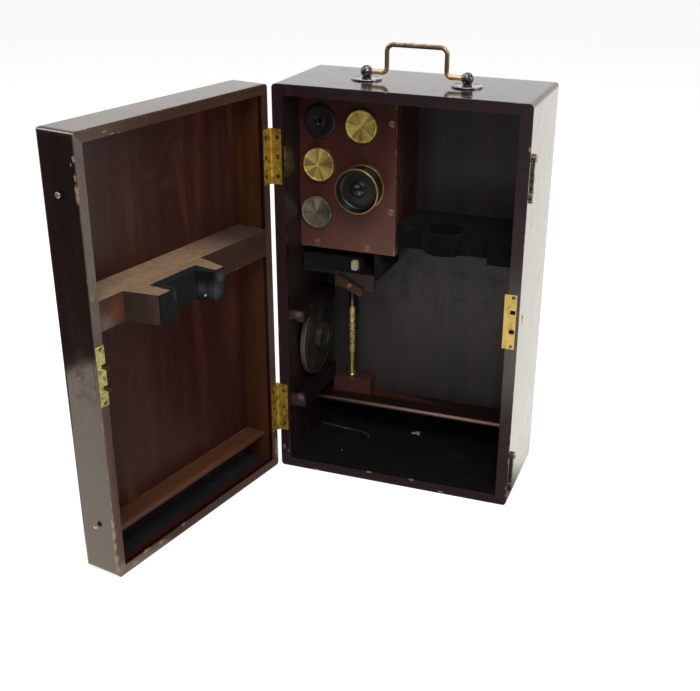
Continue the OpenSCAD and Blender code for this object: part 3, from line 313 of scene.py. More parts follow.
def overlay(material, mask, colour, roughen=0.0):
    """Lays a colour over a finished material where its mask is 1, and roughens it there."""
    tree = material.node_tree
    shader = tree.nodes["Principled BSDF"]
    base = shader.inputs["Base Color"].links[0].from_socket
    tree.links.new(blend(tree, mask, base, colour), shader.inputs["Base Color"])
    if roughen:
        base = shader.inputs["Roughness"].links[0].from_socket
        tree.links.new(calc(tree, "MULTIPLY_ADD", mask, roughen, base, clamp=True), shader.inputs["Roughness"])


GRAIN_TURN = {"z": (0, 0, 0), "x": (0, math.radians(90), 0), "y": (math.radians(90), 0, 0)}
OUTSIDE = (0.0065, 0.0034, 0.0028, 1), (0.024, 0.0090, 0.0072, 1)
CASE_INSIDE = (0.0085, 0.0052, 0.0042, 1), (0.024, 0.0145, 0.0115, 1)
DOOR_INSIDE = (0.0190, 0.0050, 0.0038, 1), (0.053, 0.0132, 0.0092, 1)
CASE_RIM = 0.0, (0.013, 0.0055, 0.0065, 1), (0.036, 0.0165, 0.0180, 1)
DOOR_RIM = -0.4, (0.042, 0.019, 0.0125, 1), (0.135, 0.078, 0.052, 1)
ALONG = {"z": (1, 1, 0.4), "x": (0.4, 1, 1), "y": (1, 0.4, 1)}
BARE_WOOD = (0.26, 0.175, 0.085, 1)


def polished_wood(
    name, low, high, grain_axis, seed, door=False, shell=None, tones=DOOR_INSIDE, streak=(0.11, 0.036, 0.014, 1),
    streaks=0.5, gloss=0.35, worn=0.6, dust=0.0, chips=(), seam=None, outside=OUTSIDE, rim=CASE_RIM, index=1.4,
):
    """Mahogany for one board between the corners low and high, polished dark where it is the skin of the shell.
    The rim is its plane and the tones there. Chips are (x, y, z, radius) in millimetres of the shut case; a seam
    is the depth of a glued edge strip."""
    material = bpy.data.materials.new(name)
    material.use_nodes = True
    tree = material.node_tree
    shader = tree.nodes["Principled BSDF"]
    where = here(tree, door)
    place = (seed * 0.37, seed * 0.71, seed * 0.53)
    along = put(tree, "Mapping", None, {0: where, "Rotation": GRAIN_TURN[grain_axis], "Location": place}).outputs[0]
    inner = use(tree, grain, {"Vector": along, "Dark": tones[0], "Light": tones[1], "Streak": streak, "Streaks": streaks})
    colour, height = inner["Color"], inner["Height"]
    rough = gloss
    edges = use(tree, arris, {"Vector": where, "Low": low, "High": high})
    marks = use(tree, scuffs, {"Vector": along})
    edge_distance = edges["Arris"]
    axes = put(tree, "SeparateXYZ", None, {0: where}).outputs
    if shell:
        skin = use(tree, arris, {"Vector": where, "Low": shell[0], "High": shell[1]})
        outer = use(tree, grain, {
            "Vector": along, "Dark": outside[0], "Light": outside[1], "Streak": DOOR_INSIDE[1], "Streaks": 0.35})
        edge = use(tree, grain, {
            "Vector": along, "Dark": rim[1], "Light": rim[2], "Streak": DOOR_INSIDE[1], "Streaks": 0.2})
        higher = calc(tree, "MULTIPLY", ramp(tree, axes[2], 0.12, 0.34), 0.75 if door else 0.2)
        edge_colour = blend(tree, higher, edge["Color"], rim[1])
        off_rim = calc(tree, "ABSOLUTE", calc(tree, "SUBTRACT", axes[1], float(spot(0, rim[0], 0)[1])))
        on_rim = ramp(tree, off_rim, 0.0009, 0.0004)
        inward = ramp(tree, skin["Skin"], 0.0040, 0.0052)
        colour = blend(tree, inward, blend(tree, on_rim, outer["Color"], edge_colour), inner["Color"])
        rough = calc(tree, "MULTIPLY_ADD", inward, gloss - 0.09, 0.09)
        rough = calc(tree, "MULTIPLY_ADD", on_rim, 0.10, rough)
        edge_distance = calc(tree, "MINIMUM", edge_distance, skin["Arris"])
        if seam:
            line = calc(tree, "ABSOLUTE", calc(tree, "SUBTRACT", axes[1], float(spot(0, seam, 0)[1])))
            line = calc(tree, "SUBTRACT", 1.0, ramp(tree, line, 0.00012, 0.00045))
            line = calc(tree, "MULTIPLY", line, calc(tree, "SUBTRACT", 1.0, inward))
            colour = blend(tree, calc(tree, "MULTIPLY", line, 0.8), colour, (0.003, 0.002, 0.002, 1))
            height = calc(tree, "MULTIPLY_ADD", line, -1.5, height)
    rough = calc(tree, "MULTIPLY_ADD", marks["Scuffs"], 0.14, rough)
    rough = calc(tree, "MULTIPLY_ADD", marks["Scratches"], 0.2, rough)
    colour = blend(tree, calc(tree, "MULTIPLY", marks["Scratches"], 0.16), colour, BARE_WOOD)
    rub = noise(tree, where, 75, 5, 0.7)
    low_down = ramp(tree, axes[2], 0.0, 0.16, 1.7, 1.0)
    reach = calc(tree, "MULTIPLY", calc(tree, "MULTIPLY_ADD", ramp(tree, rub, 0.50, 0.76), 0.0024, 0.00008), low_down)
    bare = calc(tree, "SUBTRACT", 1.0, ramp(tree, calc(tree, "DIVIDE", edge_distance, reach), 0.3, 1.0))
    bare = calc(tree, "MULTIPLY", bare, worn)
    if chips:
        bare = calc(tree, "MAXIMUM", bare, spots(tree, where, chips, ALONG[grain_axis]))
    colour = blend(tree, bare, colour, BARE_WOOD)
    rough = calc(tree, "MULTIPLY_ADD", bare, 0.35, rough)
    if dust:
        up = put(tree, "SeparateXYZ", None, {0: put(tree, "NewGeometry").outputs["Normal"]}).outputs[2]
        settled = calc(tree, "MULTIPLY", ramp(tree, up, 0.6, 0.95), ramp(tree, noise(tree, where, 160, 6, 0.75), 0.05, 0.58))
        settled = calc(tree, "MULTIPLY", settled, dust)
        colour = blend(tree, settled, colour, (0.335, 0.216, 0.128, 1))
        rough = calc(tree, "MULTIPLY_ADD", settled, 0.5, rough, clamp=True)
    ripple = calc(tree, "MULTIPLY_ADD", noise(tree, where, 40, 2, 0.5), 2.0, height)
    bump = put(tree, "Bump", None, {"Strength": 0.10, "Distance": 0.0003, "Height": ripple})
    tree.links.new(colour, shader.inputs["Base Color"])
    tree.links.new(calc(tree, "MINIMUM", rough, 0.9), shader.inputs["Roughness"])
    tree.links.new(bump.outputs[0], shader.inputs["Normal"])
    shader.inputs["IOR"].default_value = index
    return material


def dress(node, material):
    """Gives a CAD node its material."""
    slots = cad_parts[node].material_slots
    for slot in slots:
        slot.material = material


case_boards = {
    "case_top": ("x", 1, 1.5, CASE_INSIDE, [(107, 0.6, 385, 1.2)]),
    "case_bottom": ("x", 2, 1.4, CASE_INSIDE, [(40, 0, 1, 1.5), (170, 0, 2, 1.5), (95, 0, 9.6, 1.6), (140, 0, 9.8, 1.6)]),
    "case_left_side": ("z", 3, 1.4, CASE_INSIDE, [(3.6, 0, 21, 1.6), (8, 0, 17.3, 1.0), (1, 0.5, 150, 1.0)]),
    "case_right_side": ("z", 4, 1.55, CASE_INSIDE, [(235, 0, 346.9, 1.3), (236, 1, 120, 1.6), (236, 0.6, 262, 1.1)]),
    "case_back": ("z", 5, 1.4, ((0.0165, 0.0134, 0.0142, 1), (0.0440, 0.0355, 0.0370, 1)), [])}
for node, (axis, seed, index, tones, chips) in case_boards.items():
    dress(node, polished_wood(
        node + "_wood", CASE_LOW, CASE_HIGH, axis, seed, shell=(CASE_LOW, CASE_HIGH), tones=tones, worn=0.45,
        streaks=0.2, chips=chips, index=index))

DOOR_TOP = (0.036, 0.022, 0.014, 1), (0.095, 0.060, 0.038, 1)
# Brighter, more orange tones for the hinge stile's inside: the wood's own orange-brown and a painted glow of light
# bounced onto it.
ORANGE_AND_GLOW_TONES = (0.030, 0.0090, 0.0036, 1), (0.092, 0.0290, 0.0100, 1)
door_boards = {
    "door_top_rail": ("x", 6, 1.33, DOOR_TOP, DOOR_INSIDE, [
        (204, -0.4, 380, 1.1), (196, -0.4, 377, 0.9), (189, -0.4, 375.5, 1.2)]),
    "door_bottom_rail": ("x", 7, 1.4, OUTSIDE, DOOR_INSIDE, [
        (200, -0.4, 9, 2.0), (150, -0.4, 9, 1.6), (60, -0.4, 1.5, 1.5), (180, -0.4, 7, 1.8), (215, -0.4, 5, 2.0)]),
    "door_hinge_stile": ("z", 8, 1.4, OUTSIDE, ORANGE_AND_GLOW_TONES, [(2.6, -0.4, 19, 4.2), (3.6, -0.4, 29, 1.4)]),
    "door_free_stile": ("z", 9, 1.55, OUTSIDE, DOOR_INSIDE, [
        (236, -1.6, 366, 1.6), (236, -1.8, 352, 1.4), (236, -1.6, 343, 2.2), (236, -1.6, 336, 1.9), (236, -1.4, 56, 2.4),
        (236, -0.8, 45, 2.6), (236, -1.0, 33, 2.2), (236, -0.8, 21, 2.6), (236, -0.8, 10, 1.8), (233, -0.4, 257, 0.9),
        (236, -4.5, 361, 0.8)]),
    "door_panel": ("z", 10, 1.4, OUTSIDE, DOOR_INSIDE, [])}
for node, (axis, seed, index, outside, tones, chips) in door_boards.items():
    dress(node, polished_wood(
        node + "_wood", DOOR_LOW, DOOR_HIGH, axis, seed, door=True, shell=(DOOR_LOW, DOOR_HIGH), worn=0.5, chips=chips,
        seam=-3.6, outside=outside, tones=tones, rim=DOOR_RIM, index=index))


def corners(x0, y0, z0, x1, y1, z1):
    """The two corners of a box given in millimetres."""
    return tuple(spot(x0, y0, z0)), tuple(spot(x1, y1, z1))


# Inner fittings of plain mahogany: heel bar, rod block, the door's toe bar
INNER = {
    "heel_bar": ("x", 11, ((0.0075, 0.0034, 0.0030, 1), (0.024, 0.0100, 0.0080, 1)), 0.35),
    "rod_block": ("x", 12, ((0.038, 0.0110, 0.0110, 1), (0.098, 0.0300, 0.0270, 1)), 0.15)}
for node, (axis, seed, tones, worn) in INNER.items():
    low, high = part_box(node)
    dress(node, polished_wood(node + "_wood", tuple(low), tuple(high), axis, seed, tones=tones, gloss=0.35, worn=worn))
heel_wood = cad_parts["heel_bar"].material_slots[0].material
tree = heel_wood.node_tree
axes = put(tree, "SeparateXYZ", None, {0: here(tree)}).outputs
front_arris = put(tree, "CombineXYZ", None, {
    1: calc(tree, "SUBTRACT", axes[1], float(spot(0, 68, 0)[1])), 2: calc(tree, "SUBTRACT", axes[2], 51 * MM)}).outputs[0]
front_arris = put(tree, "VectorMath", {"operation": "LENGTH"}, {0: front_arris}).outputs["Value"]
# Painted highlight: a pale pink line along the heel bar's front top arris, stronger towards the right.
painted_highlight = calc(tree, "MULTIPLY", ramp(tree, front_arris, 0.0030, 0.0010), ramp(tree, axes[0], -0.10, 0.04, 0.12, 0.85))
overlay(heel_wood, painted_highlight, (0.46, 0.25, 0.21, 1), 0.1)
low, high = corners(9, -31.9, 33.2, 227, -11.2, 39.2)
dress("toe_bar", polished_wood(
    "toe_bar_wood", low, high, "x", 13, door=True, tones=((0.038, 0.0102, 0.0046, 1), (0.115, 0.0345, 0.0135, 1)),
    gloss=0.45, worn=0.4, dust=0.05))


# ---------------------------------------------------------------- pale rails
# The door's cross rail with its clamp block, and the two grooved rails on the hinge side: plain mahogany,
# glued to the boards. The cross rail and the block are bare and dusty on top, and the block's velvet is
# turned over its edges round the notch.
PALE = (0.022, 0.0078, 0.0040, 1), (0.060, 0.0215, 0.0098, 1)
low, high = corners(9, -31.9, 228, 227, -0.4, 253.5)
rail_wood = polished_wood(
    "cross_rail_wood", low, high, "x", 15, door=True, tones=PALE, gloss=0.6, worn=0.5, dust=0.95)
tree = rail_wood.node_tree
where = here(tree, True)
axes = put(tree, "SeparateXYZ", None, {0: where}).outputs
overlay(rail_wood, spots(tree, where, [(207, -0.4, 240, 8)], soft=1.4), (0.125, 0.036, 0.012, 1))
overlay(rail_wood, spots(tree, where, [(221, -0.4, 232, 7)], soft=1.4), (0.150, 0.098, 0.072, 1), 0.1)
# Painted shade: the rail's top darkens towards the hinge end, where the hinge stile shades it.
shade_at_hinge_end = calc(tree, "MULTIPLY", ramp(tree, axes[0], float(spot(115, 0, 0)[0]), float(spot(32, 0, 0)[0])), 0.95)
overlay(rail_wood, calc(tree, "MULTIPLY", shade_at_hinge_end, ramp(tree, axes[2], 0.2525, 0.2533)), (0.035, 0.019, 0.014, 1))
dress("door_cross_rail", rail_wood)
low, high = corners(104, -0.4, 228, 200, 30, 253.5)
block_wood = polished_wood(
    "clamp_block_wood", low, high, "x", 14, door=True, tones=((0.015, 0.007, 0.0048, 1), (0.046, 0.019, 0.0125, 1)),
    gloss=0.55, worn=0.4, dust=0.8)
tree = block_wood.node_tree
where = here(tree, True)
axes = put(tree, "SeparateXYZ", None, {0: where}).outputs
notch_x, notch_y, _ = (float(v) for v in spot(150, 16, 0))
beside = calc(tree, "ADD", calc(tree, "ABSOLUTE", calc(tree, "ADD", axes[0], -notch_x)), -0.0205)
outside = calc(tree, "MAXIMUM", beside, calc(tree, "SUBTRACT", notch_y, axes[1]))
frayed = calc(tree, "MULTIPLY_ADD", noise(tree, where, 300, 4, 0.7), 0.004, outside)
overlay(block_wood, ramp(tree, frayed, 0.0108, 0.0095), (0.0030, 0.0028, 0.0028, 1), 0.5)
dress("tube_clamp_block", block_wood)
low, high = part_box("plate_rails")
grooved_wood = polished_wood(
    "plate_rails_wood", tuple(low), tuple(high), "y", 16, tones=((0.0045, 0.0026, 0.0022, 1), (0.0140, 0.0070, 0.0055, 1)),
    gloss=0.45, worn=0.2)
tree = grooved_wood.node_tree
ends = [(18, 2.5, 166, 9), (18, 2.5, 77, 9), (25, 2.5, 170, 3), (15, 2.5, 170, 3)]
overlay(grooved_wood, spots(tree, here(tree), ends, (1, 3, 1), 1.0), (0.050, 0.020, 0.016, 1), 0.1)
overlay(grooved_wood, spots(tree, here(tree), [(21, 2.5, 168, 3), (22, 2.5, 79, 3)], (1, 2, 1), 1.0), (0.17, 0.11, 0.09, 1), 0.1)
dress("plate_rails", grooved_wood)


# ---------------------------------------------------------------- rack boards
# Redder mahogany with a glossier face: the bored board, its side, base and rear guide, the shelf below
# with its apron, and the turn button.
RACK = (0.028, 0.0066, 0.0050, 1), (0.078, 0.0190, 0.0125, 1)
rack_boards = {
    "rack_front": ("z", 17, RACK, 0.22, [(103, 37, 374.5, 1.6), (105.5, 37, 229, 1.8)]),
    "rack_side": ("z", 18, ((0.034, 0.0125, 0.0085, 1), (0.090, 0.0330, 0.0215, 1)), 0.35, []),
    "rack_base": ("x", 19, RACK, 0.3, []),
    "rack_rear_guide": ("x", 20, CASE_INSIDE, 0.4, []),
    "slip_shelf": ("x", 21, CASE_INSIDE, 0.4, []),
    "turn_button": ("x", 22, ((0.022, 0.0050, 0.0026, 1), (0.055, 0.0135, 0.0062, 1)), 0.35, [])}
for node, (axis, seed, tones, gloss, chips) in rack_boards.items():
    low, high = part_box(node)
    dress(node, polished_wood(
        node + "_wood", tuple(low), tuple(high), axis, seed, tones=tones, streaks=0.25, gloss=gloss, worn=0.5, chips=chips))
rack_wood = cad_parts["rack_front"].material_slots[0].material
tree = rack_wood.node_tree
axes = put(tree, "SeparateXYZ", None, {0: here(tree)}).outputs
# Painted light: the bored face turns lighter and redder towards its lower right, as if the case's top shaded its upper
# left.
painted_light_slope = calc(tree, "MULTIPLY_ADD", axes[0], -0.5, axes[2])
overlay(rack_wood, calc(tree, "MULTIPLY", ramp(tree, painted_light_slope, 0.36, 0.24), 0.55), (0.155, 0.062, 0.042, 1), 0.05)


# ---------------------------------------------------------------- black velvet
# Linings of the floor, the door's foot slot, the tube bracket and the clamp's notch: black cotton
# velvet, glued down, with rubbed and dusty places, and with painted highlights and painted sheen in the clamp's notch.
# The floor's lining has lifted along a torn edge.
def velvet(name, seed, paleness=1.0, scraps_and_painted_highlights=(), painted_highlight=(), door=False, sheen=0.03):
    """Black pile with lint and greyed patches. The pale places are scraps of lint and, on the clamp's lining, painted
    highlights; the greyed, bluish places are painted sheen; each is (x, y, z, radius) in millimetres."""
    material = bpy.data.materials.new(name)
    material.use_nodes = True
    tree = material.node_tree
    shader = tree.nodes["Principled BSDF"]
    where = here(tree, door)
    moved = put(tree, "Mapping", None, {0: where, "Location": (seed, 0, 0)}).outputs[0]
    worn_patch = ramp(tree, noise(tree, moved, 38, 5, 0.7, 0.4), 0.52, 0.78)
    lint = ramp(tree, noise(tree, moved, 1500, 1, 0.5), 0.72, 0.78)
    colour = blend(tree, worn_patch, (0.0022 * paleness, 0.0021 * paleness, 0.0022 * paleness, 1), (0.0095 * paleness, 0.0090 * paleness, 0.0086 * paleness, 1))
    colour = blend(tree, calc(tree, "MULTIPLY", lint, 0.25), colour, (0.10, 0.095, 0.09, 1))
    # Greyed, bluish places, used only on the clamp's lining: painted sheen.
    if painted_highlight:
        colour = blend(tree, spots(tree, where, painted_highlight, (1, 1, 1), 1.1), colour, (0.046, 0.052, 0.055, 1))
    # Pale places: scraps of lint, and on the clamp's lining painted highlights.
    if scraps_and_painted_highlights:
        colour = blend(tree, spots(tree, where, scraps_and_painted_highlights), colour, (0.46, 0.46, 0.45, 1))
    pile = noise(tree, moved, 2600, 2, 0.7)
    bump = put(tree, "Bump", None, {"Strength": 0.5, "Distance": 0.0004, "Height": pile})
    tree.links.new(colour, shader.inputs["Base Color"])
    tree.links.new(bump.outputs[0], shader.inputs["Normal"])
    shader.inputs["Roughness"].default_value = 0.92
    shader.inputs["Specular IOR Level"].default_value = 0.12
    shader.inputs["Sheen Weight"].default_value = sheen
    shader.inputs["Sheen Roughness"].default_value = 0.5
    return material


linings = {
    "floor_lining": (0.0, 1.0, [(113, 91, 11.5, 3.2), (117, 94, 11.5, 3.2), (119, 90, 11.5, 2.4), (55, 30, 11.5, 0.9)], []),
    "door_lining": (0.3, 3.6, [], []), "tube_bracket": (0.6, 1.6, [], []),
    "bracket_lining": (0.9, 1.2, [(158, 30, 250, 1.0)], []),
    # The clamp's pale and greyed places are painted highlights and painted sheen on its velvet.
    "clamp_lining": (1.2, 1.0, [(125, 16, 234, 2.4), (129, 24, 232, 1.2)], [
        (124, 31.5, 236, 6.5), (118, 31.5, 246, 5.0), (131, 22, 237, 5.0), (172, 31.5, 248, 4.0)]),
    "slip_hanger": (1.5, 2.2, [], [])}
for node, (seed, paleness, scraps_and_painted_highlights, painted_highlight) in linings.items():
    on_door = node in ("door_lining", "clamp_lining")
    dress(node, velvet(node + "_velvet", seed, paleness, scraps_and_painted_highlights, painted_highlight, on_door, 0.06 if node == "clamp_lining" else 0.03))


# ---------------------------------------------------------------- aged brass
# Butt hinges, pins, screws, lock parts and the keyhole plate: sheet and bar brass, dull with brown and
# green patches, brighter where it is rubbed.
tarnish, t_in, t_out = new_group(
    "tarnish",
    {"Vector": ("Vector", None), "Clean": ("Color", (0.5, 0.4, 0.2, 1)), "Stained": ("Color", (0.15, 0.1, 0.04, 1)),
     "Amount": ("Float", 0.5), "Scale": ("Float", 120.0)},
    {"Color": "Color", "Mask": "Float", "Height": "Float"})
blot = put(tarnish, "TexNoise", None, {"Vector": t_in["Vector"], "Scale": t_in["Scale"], "Detail": 5.0, "Roughness": 0.68, "Distortion": 0.5}).outputs["Fac"]
fine = put(tarnish, "TexNoise", None, {"Vector": t_in["Vector"], "Scale": calc(tarnish, "MULTIPLY", t_in["Scale"], 9.0), "Detail": 2.0}).outputs["Fac"]
level_of = calc(tarnish, "MULTIPLY_ADD", t_in["Amount"], -0.5, 0.75)
blotched = put(tarnish, "MapRange", {"interpolation_type": "SMOOTHSTEP"},
               {0: blot, 1: calc(tarnish, "SUBTRACT", level_of, 0.14), 2: calc(tarnish, "ADD", level_of, 0.14)}).outputs[0]
specks = calc(tarnish, "MULTIPLY", ramp(tarnish, fine, 0.56, 0.70), 0.55)
stain = calc(tarnish, "MAXIMUM", blotched, specks)
tarnish.links.new(blend(tarnish, stain, t_in["Clean"], t_in["Stained"]), t_out["Color"])
tarnish.links.new(stain, t_out["Mask"])
tarnish.links.new(calc(tarnish, "MULTIPLY_ADD", fine, 0.4, calc(tarnish, "MULTIPLY", blot, 0.6)), t_out["Height"])


def metal(name, clean, stained, amount, scale=120.0, rough=(0.28, 0.5), bump_strength=0.15, metallic=1.0, door=False):
    """Brass or bronze with a patina laid over its clean colour; a metallic share below 1 is a dulled skin."""
    material = bpy.data.materials.new(name)
    material.use_nodes = True
    tree = material.node_tree
    shader = tree.nodes["Principled BSDF"]
    where = here(tree, door)
    patina = use(tree, tarnish, {"Vector": where, "Clean": clean, "Stained": stained, "Amount": amount, "Scale": scale})
    tree.links.new(patina["Color"], shader.inputs["Base Color"])
    tree.links.new(calc(tree, "MULTIPLY_ADD", patina["Mask"], rough[1] - rough[0], rough[0]), shader.inputs["Roughness"])
    bump = put(tree, "Bump", None, {"Strength": bump_strength, "Distance": 0.0002, "Height": patina["Height"]})
    tree.links.new(bump.outputs[0], shader.inputs["Normal"])
    shader.inputs["Metallic"].default_value = metallic
    return material


hinge_brass = metal("hinge_brass", (0.63, 0.42, 0.062, 1), (0.20, 0.115, 0.019, 1), 0.44, 150, (0.38, 0.55), 0.15, 0.75)
for node in ("hinge_case_leaves", "hinge_door_leaves", "lock_bolt", "keyhole_plate"):
    dress(node, hinge_brass)
pin_brass = metal("hinge_pin_brass", (0.34, 0.22, 0.06, 1), (0.10, 0.055, 0.02, 1), 0.6, 200, (0.5, 0.7), 0.15, 0.6)
for node in ("hinge_pins", "turn_button_screw"):
    dress(node, pin_brass)
dress("rack_screws", metal("rack_screw_brass", (0.60, 0.36, 0.25, 1), (0.13, 0.05, 0.03, 1), 0.55, 600, (0.3, 0.5), 0.2, 0.8))
dress("lock_case", metal("lock_brass", (0.66, 0.49, 0.135, 1), (0.38, 0.27, 0.075, 1), 0.25, 120, (0.36, 0.5), 0.1, 0.85))
link_brass = metal("link_brass", (0.80, 0.70, 0.27, 1), (0.19, 0.20, 0.08, 1), 0.46, 170, (0.42, 0.6), 0.2, 0.7, True)
tree = link_brass.node_tree
proud = put(tree, "SeparateXYZ", None, {0: here(tree, True)}).outputs[1]
overlay(link_brass, ramp(tree, proud, float(spot(0, 0.2, 0)[1]), float(spot(0, 1.2, 0)[1])), (0.045, 0.030, 0.013, 1), 0.1)
dress("link_plate", link_brass)
for node in ("case_screws", "door_screws"):
    dress(node, metal(node + "_brass", (0.45, 0.33, 0.13, 1), (0.10, 0.07, 0.03, 1), 0.6, 500, (0.35, 0.55)))


# ---------------------------------------------------------------- can caps and cans
# Turned brass cans that stand in the rack's bores, each closed by a cap with a lathe-finished face, a
# bright rounded rim and a small centre mark.
def ring_faces(rings, around, first=0, closed=True):
    """Quads between neighbouring rings of a grid of points."""
    j = np.arange(rings - 1)[:, None] * around
    i = np.arange(around if closed else around - 1)[None, :]
    k = (i + 1) % around
    return (np.stack([j + i, j + k, j + around + k, j + around + i], 2).reshape(-1, 4) + first).tolist()


def make_mesh(name, points, faces, material, body, replaced=(), crease=35.0):
    """Makes a smooth-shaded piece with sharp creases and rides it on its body."""
    mesh = bpy.data.meshes.new(name)
    mesh.from_pydata(points.tolist(), [], faces)
    mesh.materials.append(material)
    mesh.polygons.foreach_set("use_smooth", np.ones(len(mesh.polygons), bool))
    mesh.set_sharp_from_angle(angle=math.radians(crease))
    mesh.update()
    piece = bpy.data.objects.new(name, mesh)
    scene.collection.objects.link(piece)
    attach(piece, body)
    if replaced:
        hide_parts(*replaced)
    return piece


def revolved(profile, around=96):
    """Carries a profile of (radius, height) round the axis. It runs so that the outside is on its right; a
    radius of zero at an end becomes one pole, and a profile that ends where it starts is joined up."""
    profile = np.array(profile, float)
    looped = bool(np.allclose(profile[0], profile[-1]))
    if looped:
        profile = profile[:-1]
    pole_start, pole_end = (not looped and profile[0, 0] == 0), (not looped and profile[-1, 0] == 0)
    rings = profile[int(pole_start):len(profile) - int(pole_end)]
    angle = np.linspace(0, 2 * math.pi, around, endpoint=False)
    points = np.stack([
        rings[:, :1] * np.cos(angle), rings[:, :1] * np.sin(angle), np.repeat(rings[:, 1:], around, 1)], 2).reshape(-1, 3)
    faces = ring_faces(len(rings), around)
    i = np.arange(around)
    k = (i + 1) % around
    if looped:
        last = (len(rings) - 1) * around
        faces += np.stack([last + i, last + k, k, i], 1).tolist()
    if pole_start:
        faces += np.stack([np.full(around, len(points)), k, i], 1).tolist()
        points = np.vstack([points, [0, 0, profile[0, 1]]])
    if pole_end:
        last = (len(rings) - 1) * around
        faces += np.stack([last + i, last + k, np.full(around, len(points))], 1).tolist()
        points = np.vstack([points, [0, 0, profile[-1, 1]]])
    return points, faces


def rounded(profile, radius, steps=4):
    """The profile with its inner corners replaced by short arcs of about the radius."""
    profile = np.array(profile, float)
    before, here, after = profile[:-2], profile[1:-1], profile[2:]
    lead, tail = before - here, after - here
    lead_len, tail_len = np.linalg.norm(lead, axis=1), np.linalg.norm(tail, axis=1)
    cut = np.minimum(radius, 0.45 * np.minimum(lead_len, tail_len))[:, None]
    start, end = here + lead / lead_len[:, None] * cut, here + tail / tail_len[:, None] * cut
    t = np.linspace(0, 1, steps)[None, :, None]
    arc = (1 - t) ** 2 * start[:, None] + 2 * t * (1 - t) * here[:, None] + t ** 2 * end[:, None]
    return np.vstack([profile[:1], arc.reshape(-1, 2), profile[-1:]])


# Axes that a turned piece can stand along: towards the front, the side, or up
FRONT = np.array([[1, 0, 0], [0, 0, 1], [0, -1, 0]], float)
SIDE = np.array([[0, 1, 0], [0, 0, 1], [1, 0, 0]], float)
UP = np.eye(3)


def stood(points, axis, foot):
    """Turns points in millimetres so that their z runs along the axis, and puts their origin at the foot."""
    return points * MM @ axis + foot


def lathe_metal(name, clean, stained, amount, axis_place, seed):
    """Brass with the fine concentric grooves of a turned face, which draw the light out into fans. Dark wedges round
    the axis are painted reflection in its colour.
    """
    material = bpy.data.materials.new(name)
    material.use_nodes = True
    tree = material.node_tree
    shader = tree.nodes["Principled BSDF"]
    centred = put(tree, "Mapping", None, {0: put(tree, "TexCoord").outputs["Object"], "Location": tuple(-np.array(axis_place))}).outputs[0]
    flat = stretched(tree, centred, 1, 0, 1)
    radius = put(tree, "VectorMath", {"operation": "LENGTH"}, {0: flat}).outputs["Value"]
    patina = use(tree, tarnish, {"Vector": centred, "Clean": clean, "Stained": stained, "Amount": amount, "Scale": 110.0 + seed})
    groove_at = put(tree, "CombineXYZ", None, {0: radius, 1: seed * 1.0}).outputs[0]
    groove = noise(tree, groove_at, 5200, 3, 0.8)
    tint = blend(tree, calc(tree, "MULTIPLY", ramp(tree, groove, 0.35, 0.7), 0.25), patina["Color"], stained)
    # Painted reflection: dark wedges set by the angle round the axis, in the pattern of a turned face's fans.
    spoke = put(tree, "VectorMath", {"operation": "NORMALIZE"}, {0: flat}).outputs[0]
    painted_dark_wedges = noise(tree, put(tree, "Mapping", None, {0: spoke, "Location": (seed * 3.0, 0, 0)}).outputs[0], 1.7, 2, 0.6)
    painted_dark_wedges = calc(tree, "MULTIPLY", ramp(tree, painted_dark_wedges, 0.48, 0.60), 0.75)
    tint = blend(tree, calc(tree, "MULTIPLY", painted_dark_wedges, ramp(tree, radius, 0.0005, 0.003)), tint, stained)
    tree.links.new(tint, shader.inputs["Base Color"])
    tree.links.new(calc(tree, "MULTIPLY_ADD", patina["Mask"], 0.2, 0.34), shader.inputs["Roughness"])
    bump = put(tree, "Bump", None, {"Strength": 0.10, "Distance": 0.0001, "Height": groove})
    tree.links.new(bump.outputs[0], shader.inputs["Normal"])
    tangent = put(tree, "Tangent", {"direction_type": "RADIAL", "axis": "Y"})
    tree.links.new(tangent.outputs[0], shader.inputs["Tangent"])
    shader.inputs["Metallic"].default_value = 0.72
    shader.inputs["Anisotropic"].default_value = 0.85
    return material


RACK_FACE = 36.9
can_metal = metal("can_metal", (0.62, 0.42, 0.14, 1), (0.25, 0.15, 0.05, 1), 0.35, 90, (0.24, 0.42))
cans = {
    "upper_can": (72.5, 346, 30.5, (0.80, 0.61, 0.15, 1), (0.26, 0.19, 0.05, 1), 0.20, 1),
    "middle_can": (30.5, 307, 31.0, (0.88, 0.68, 0.19, 1), (0.24, 0.17, 0.05, 1), 0.15, 2),
    "lower_can": (28.0, 261.5, 31.0, (0.30, 0.26, 0.17, 1), (0.13, 0.115, 0.085, 1), 0.50, 3)}
for name, (x, z, cap_d, clean, stained, amount, seed) in cans.items():
    foot = spot(x, RACK_FACE, z)
    r, neck = cap_d / 2, 13.4
    outside = rounded([
        (neck, -6.0), (neck, 0.0), (r, 0.0), (r, 3.4), (r - 0.5, 4.0), (r - 1.7, 4.0), (r - 2.1, 3.55),
        (1.4, 3.45), (1.2, 3.2), (0.0, 3.2)], 0.25)
    inside = [(0.0, 2.0), (neck - 0.8, 2.0), (neck - 0.8, -6.0), (neck, -6.0)]
    points, faces = revolved(np.vstack([inside, outside]), 128)
    cap_metal = lathe_metal(name + "_cap_metal", clean, stained, amount, foot, seed)
    make_mesh(name + "_cap_turned", stood(points, FRONT, foot), faces, cap_metal, name, [name + "_cap"])
    dress(name, can_metal)


